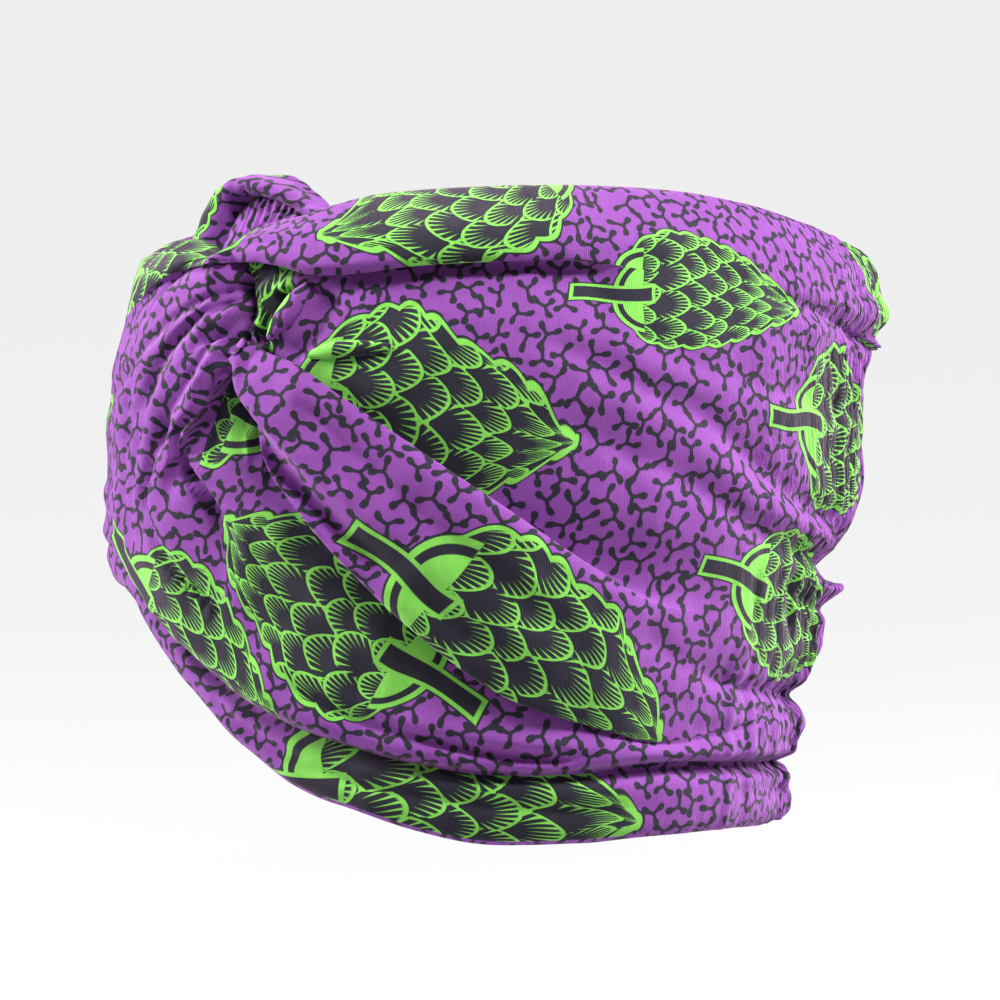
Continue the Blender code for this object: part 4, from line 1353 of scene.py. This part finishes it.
tree, given, result = new_group(
    "jersey", [("Cloth", VECTOR, None), ("Round", FLOAT, cloth_length)], [("Tone", FLOAT), ("Height", FLOAT)]
)
u, v, _ = parts_of(tree, given["Cloth"])
patch, fuzz = (cloud(tree, given["Cloth"], scale, KNIT_DETAIL) for scale in (PATCH_SCALE, FUZZ_SCALE))
wales = ((u + patch * WALE_SWAY) * (2 * np.pi / WALE)).sine()
sway = (u * (np.pi / WALE)).sine().size() * COURSE_SWAY
courses = ((v + sway) * (2 * np.pi / COURSE)).sine()
gathered = ((u.least(u * -1 + given["Round"]) * -1 + RUCHE_START) / RUCHE_GROWTH).clamp(0, 1)
ruche = ((u + patch * RUCHE_BEND + v * RUCHE_LEAN) * (2 * np.pi / NAPE_RUCHE)).sine() * gathered
tone = wales * WALE_TONE + (fuzz - 0.5) * FUZZ_TONE + (patch - 0.5) * PATCH_TONE + 1
rise = wales * WALE_RISE + courses * COURSE_RISE + (fuzz - 0.5) * FUZZ_RISE + ruche * patch * RUCHE_RISE
feed(tree, result.inputs["Tone"], tone)
feed(tree, result.inputs["Height"], rise)
jersey = tree

# %% [markdown]
# ## The printed cloth
#
# Every piece is finished alike, with cones or with the ground alone. Ink lies flat on jersey, so the print
# changes only the colour, and the knit gives the relief. A little sheen stands for the fine fuzz that
# catches light where the cloth turns away.

# %% Cloth material
PURPLE = (0.222, 0.054, 0.312, 1)
CHARCOAL = (0.013, 0.013, 0.022, 1)
LIME = (0.19, 0.56, 0.075, 1)
KNIT_STRENGTH, KNIT_DEPTH = 0.5, 0.00014
CLOTH_FINISH = {
    "Roughness": 0.85,
    "Specular IOR Level": 0.25,
    "Sheen Weight": 0.24,
    "Sheen Roughness": 0.45,
    "Sheen Tint": (1.0, 0.66, 0.92, 1),
}


def cloth_material(name, has_cones):
    """Printed jersey: the coral ground and the cones on it, in inks toned and raised by the knit."""
    material = bpy.data.materials.new(name)
    material.use_nodes = True
    tree = material.node_tree
    shader = tree.nodes["Principled BSDF"]
    cloth = tree.nodes.new("ShaderNodeUVMap")
    cloth.uv_map = "cloth"
    ground = place_group(tree, coral_ground, Cloth=cloth.outputs[0])
    knit = place_group(tree, jersey, Cloth=cloth.outputs[0])
    colour = mixed(tree, ground["Mark"], PURPLE, CHARCOAL)
    if has_cones:
        motif = tree.nodes.new("ShaderNodeUVMap")
        motif.uv_map = "motif"
        cone = place_group(tree, scaled_cone, Motif=motif.outputs[0], Cloth=cloth.outputs[0])
        colour = mixed(tree, cone["Cover"], colour, mixed(tree, cone["Light"], CHARCOAL, LIME))
    toned = tree.nodes.new("ShaderNodeVectorMath")
    toned.operation = "SCALE"
    feed(tree, toned.inputs[0], colour)
    feed(tree, toned.inputs["Scale"], knit["Tone"])
    feed(tree, shader.inputs["Base Color"], toned.outputs[0])
    bump = tree.nodes.new("ShaderNodeBump")
    bump.inputs["Strength"].default_value = KNIT_STRENGTH
    bump.inputs["Distance"].default_value = KNIT_DEPTH
    feed(tree, bump.inputs["Height"], knit["Height"])
    feed(tree, shader.inputs["Normal"], bump.outputs[0])
    for socket, value in CLOTH_FINISH.items():
        shader.inputs[socket].default_value = value
    return material


with_cones = cloth_material("jersey_with_cones", True)
ground_only = cloth_material("jersey_ground_only", False)
for piece in (band, loop, tuck, pleat):
    piece.data.materials.append(with_cones)
for piece in (band, core):
    piece.data.materials.append(ground_only)

# %% [markdown]
# ## The studio
#
# The headband is held up as a head would hold it, over a wide pale floor that rises very gently far off, so
# that no line shows behind. The lights leave the far floor dark, so the floor also glows, and more the
# further off it is: by the square of the distance over the sum of that square and a constant. Near and far
# parts then come out about equally pale. The camera sees all of the glow, and the cloth is lit by only a
# small share of it. Three soft round lights, from the side and above, from the front and from behind, and a
# faint white world give the folds their soft shade.

# %% Stage and light
FLOOR_HEIGHT = -0.17
FLOOR_REACH = 9.0
FLAT_REACH = 1.5
FLOOR_RISE = 0.05
FLOOR_RINGS, FLOOR_SPOKES = 60, 96
FLOOR_HOLE = 0.001
PAINT_DARK, PAINT_LIGHT = (0.37, 0.37, 0.373, 1), (0.39, 0.39, 0.393, 1)
PAINT_SCALE, PAINT_DETAIL = 3.0, 2.0
PAINT_ROUGHNESS = 0.95
GLOW_REACH = 1.13
BACKDROP_LIGHT = 0.84
FILL_SHARE = 0.12
WORLD_LIGHT = 0.05

turn = np.linspace(0, 2 * np.pi, FLOOR_SPOKES, endpoint=False)[None, :]
far = np.linspace(FLOOR_HOLE, 1, FLOOR_RINGS)[:, None] ** 2 * FLOOR_REACH
up = FLOOR_HEIGHT + FLOOR_RISE * np.maximum(far - FLAT_REACH, 0) ** 2
points = np.stack([far * np.cos(turn), far * np.sin(turn), up + 0 * turn], -1)
corner_row, corner_column = grid_quads(*points.shape[:2], False, True)
faces = corner_row * points.shape[1] + corner_column % points.shape[1]
mesh = bpy.data.meshes.new("studio")
mesh.from_pydata(points.reshape(-1, 3).tolist(), [], faces.tolist())
mesh.polygons.foreach_set("use_smooth", np.ones(len(faces), bool))
studio = add_object("studio", mesh)

material = bpy.data.materials.new("studio_paint")
material.use_nodes = True
tree = material.node_tree
place = tree.nodes.new("ShaderNodeTexCoord").outputs["Object"]
paint = mixed(tree, cloud(tree, place, PAINT_SCALE, PAINT_DETAIL), PAINT_DARK, PAINT_LIGHT)
across, deep, _ = parts_of(tree, place)
far_squared = across * across + deep * deep
seen = Term(tree, tree.nodes.new("ShaderNodeLightPath").outputs["Is Camera Ray"])
glow_share = far_squared / (far_squared + GLOW_REACH**2) * (seen * (1 - FILL_SHARE) + FILL_SHARE)
glow = mixed(tree, glow_share, (0, 0, 0, 1), (1, 1, 1, 1))
shader = tree.nodes["Principled BSDF"]
feed(tree, shader.inputs["Base Color"], paint)
feed(tree, shader.inputs["Emission Color"], glow)
shader.inputs["Emission Strength"].default_value = BACKDROP_LIGHT
shader.inputs["Roughness"].default_value = PAINT_ROUGHNESS
mesh.materials.append(material)

# Each light's place in metres, its size and its power. All of them look at the middle of the headband
LIGHTS = (
    ("key", (0.95, 0.25, 1.7), 0.5, 50.0),
    ("front", (-0.45, -1.55, 0.7), 0.7, 60.0),
    ("back", (0.2, 1.5, 0.8), 0.6, 48.0),
)
for name, place, size, power in LIGHTS:
    light = bpy.data.lights.new(name, "AREA")
    light.shape = "DISK"
    light.size = size
    light.energy = power
    lamp = add_object(name, light)
    lamp.location = place
    lamp.rotation_euler = Vector(place).to_track_quat("Z", "Y").to_euler()

world = bpy.data.worlds.new("studio_white")
world.use_nodes = True
background = world.node_tree.nodes["Background"]
background.inputs["Color"].default_value = (1, 1, 1, 1)
background.inputs["Strength"].default_value = WORLD_LIGHT
bpy.context.scene.world = world
bpy.context.scene.view_settings.view_transform = "Standard"
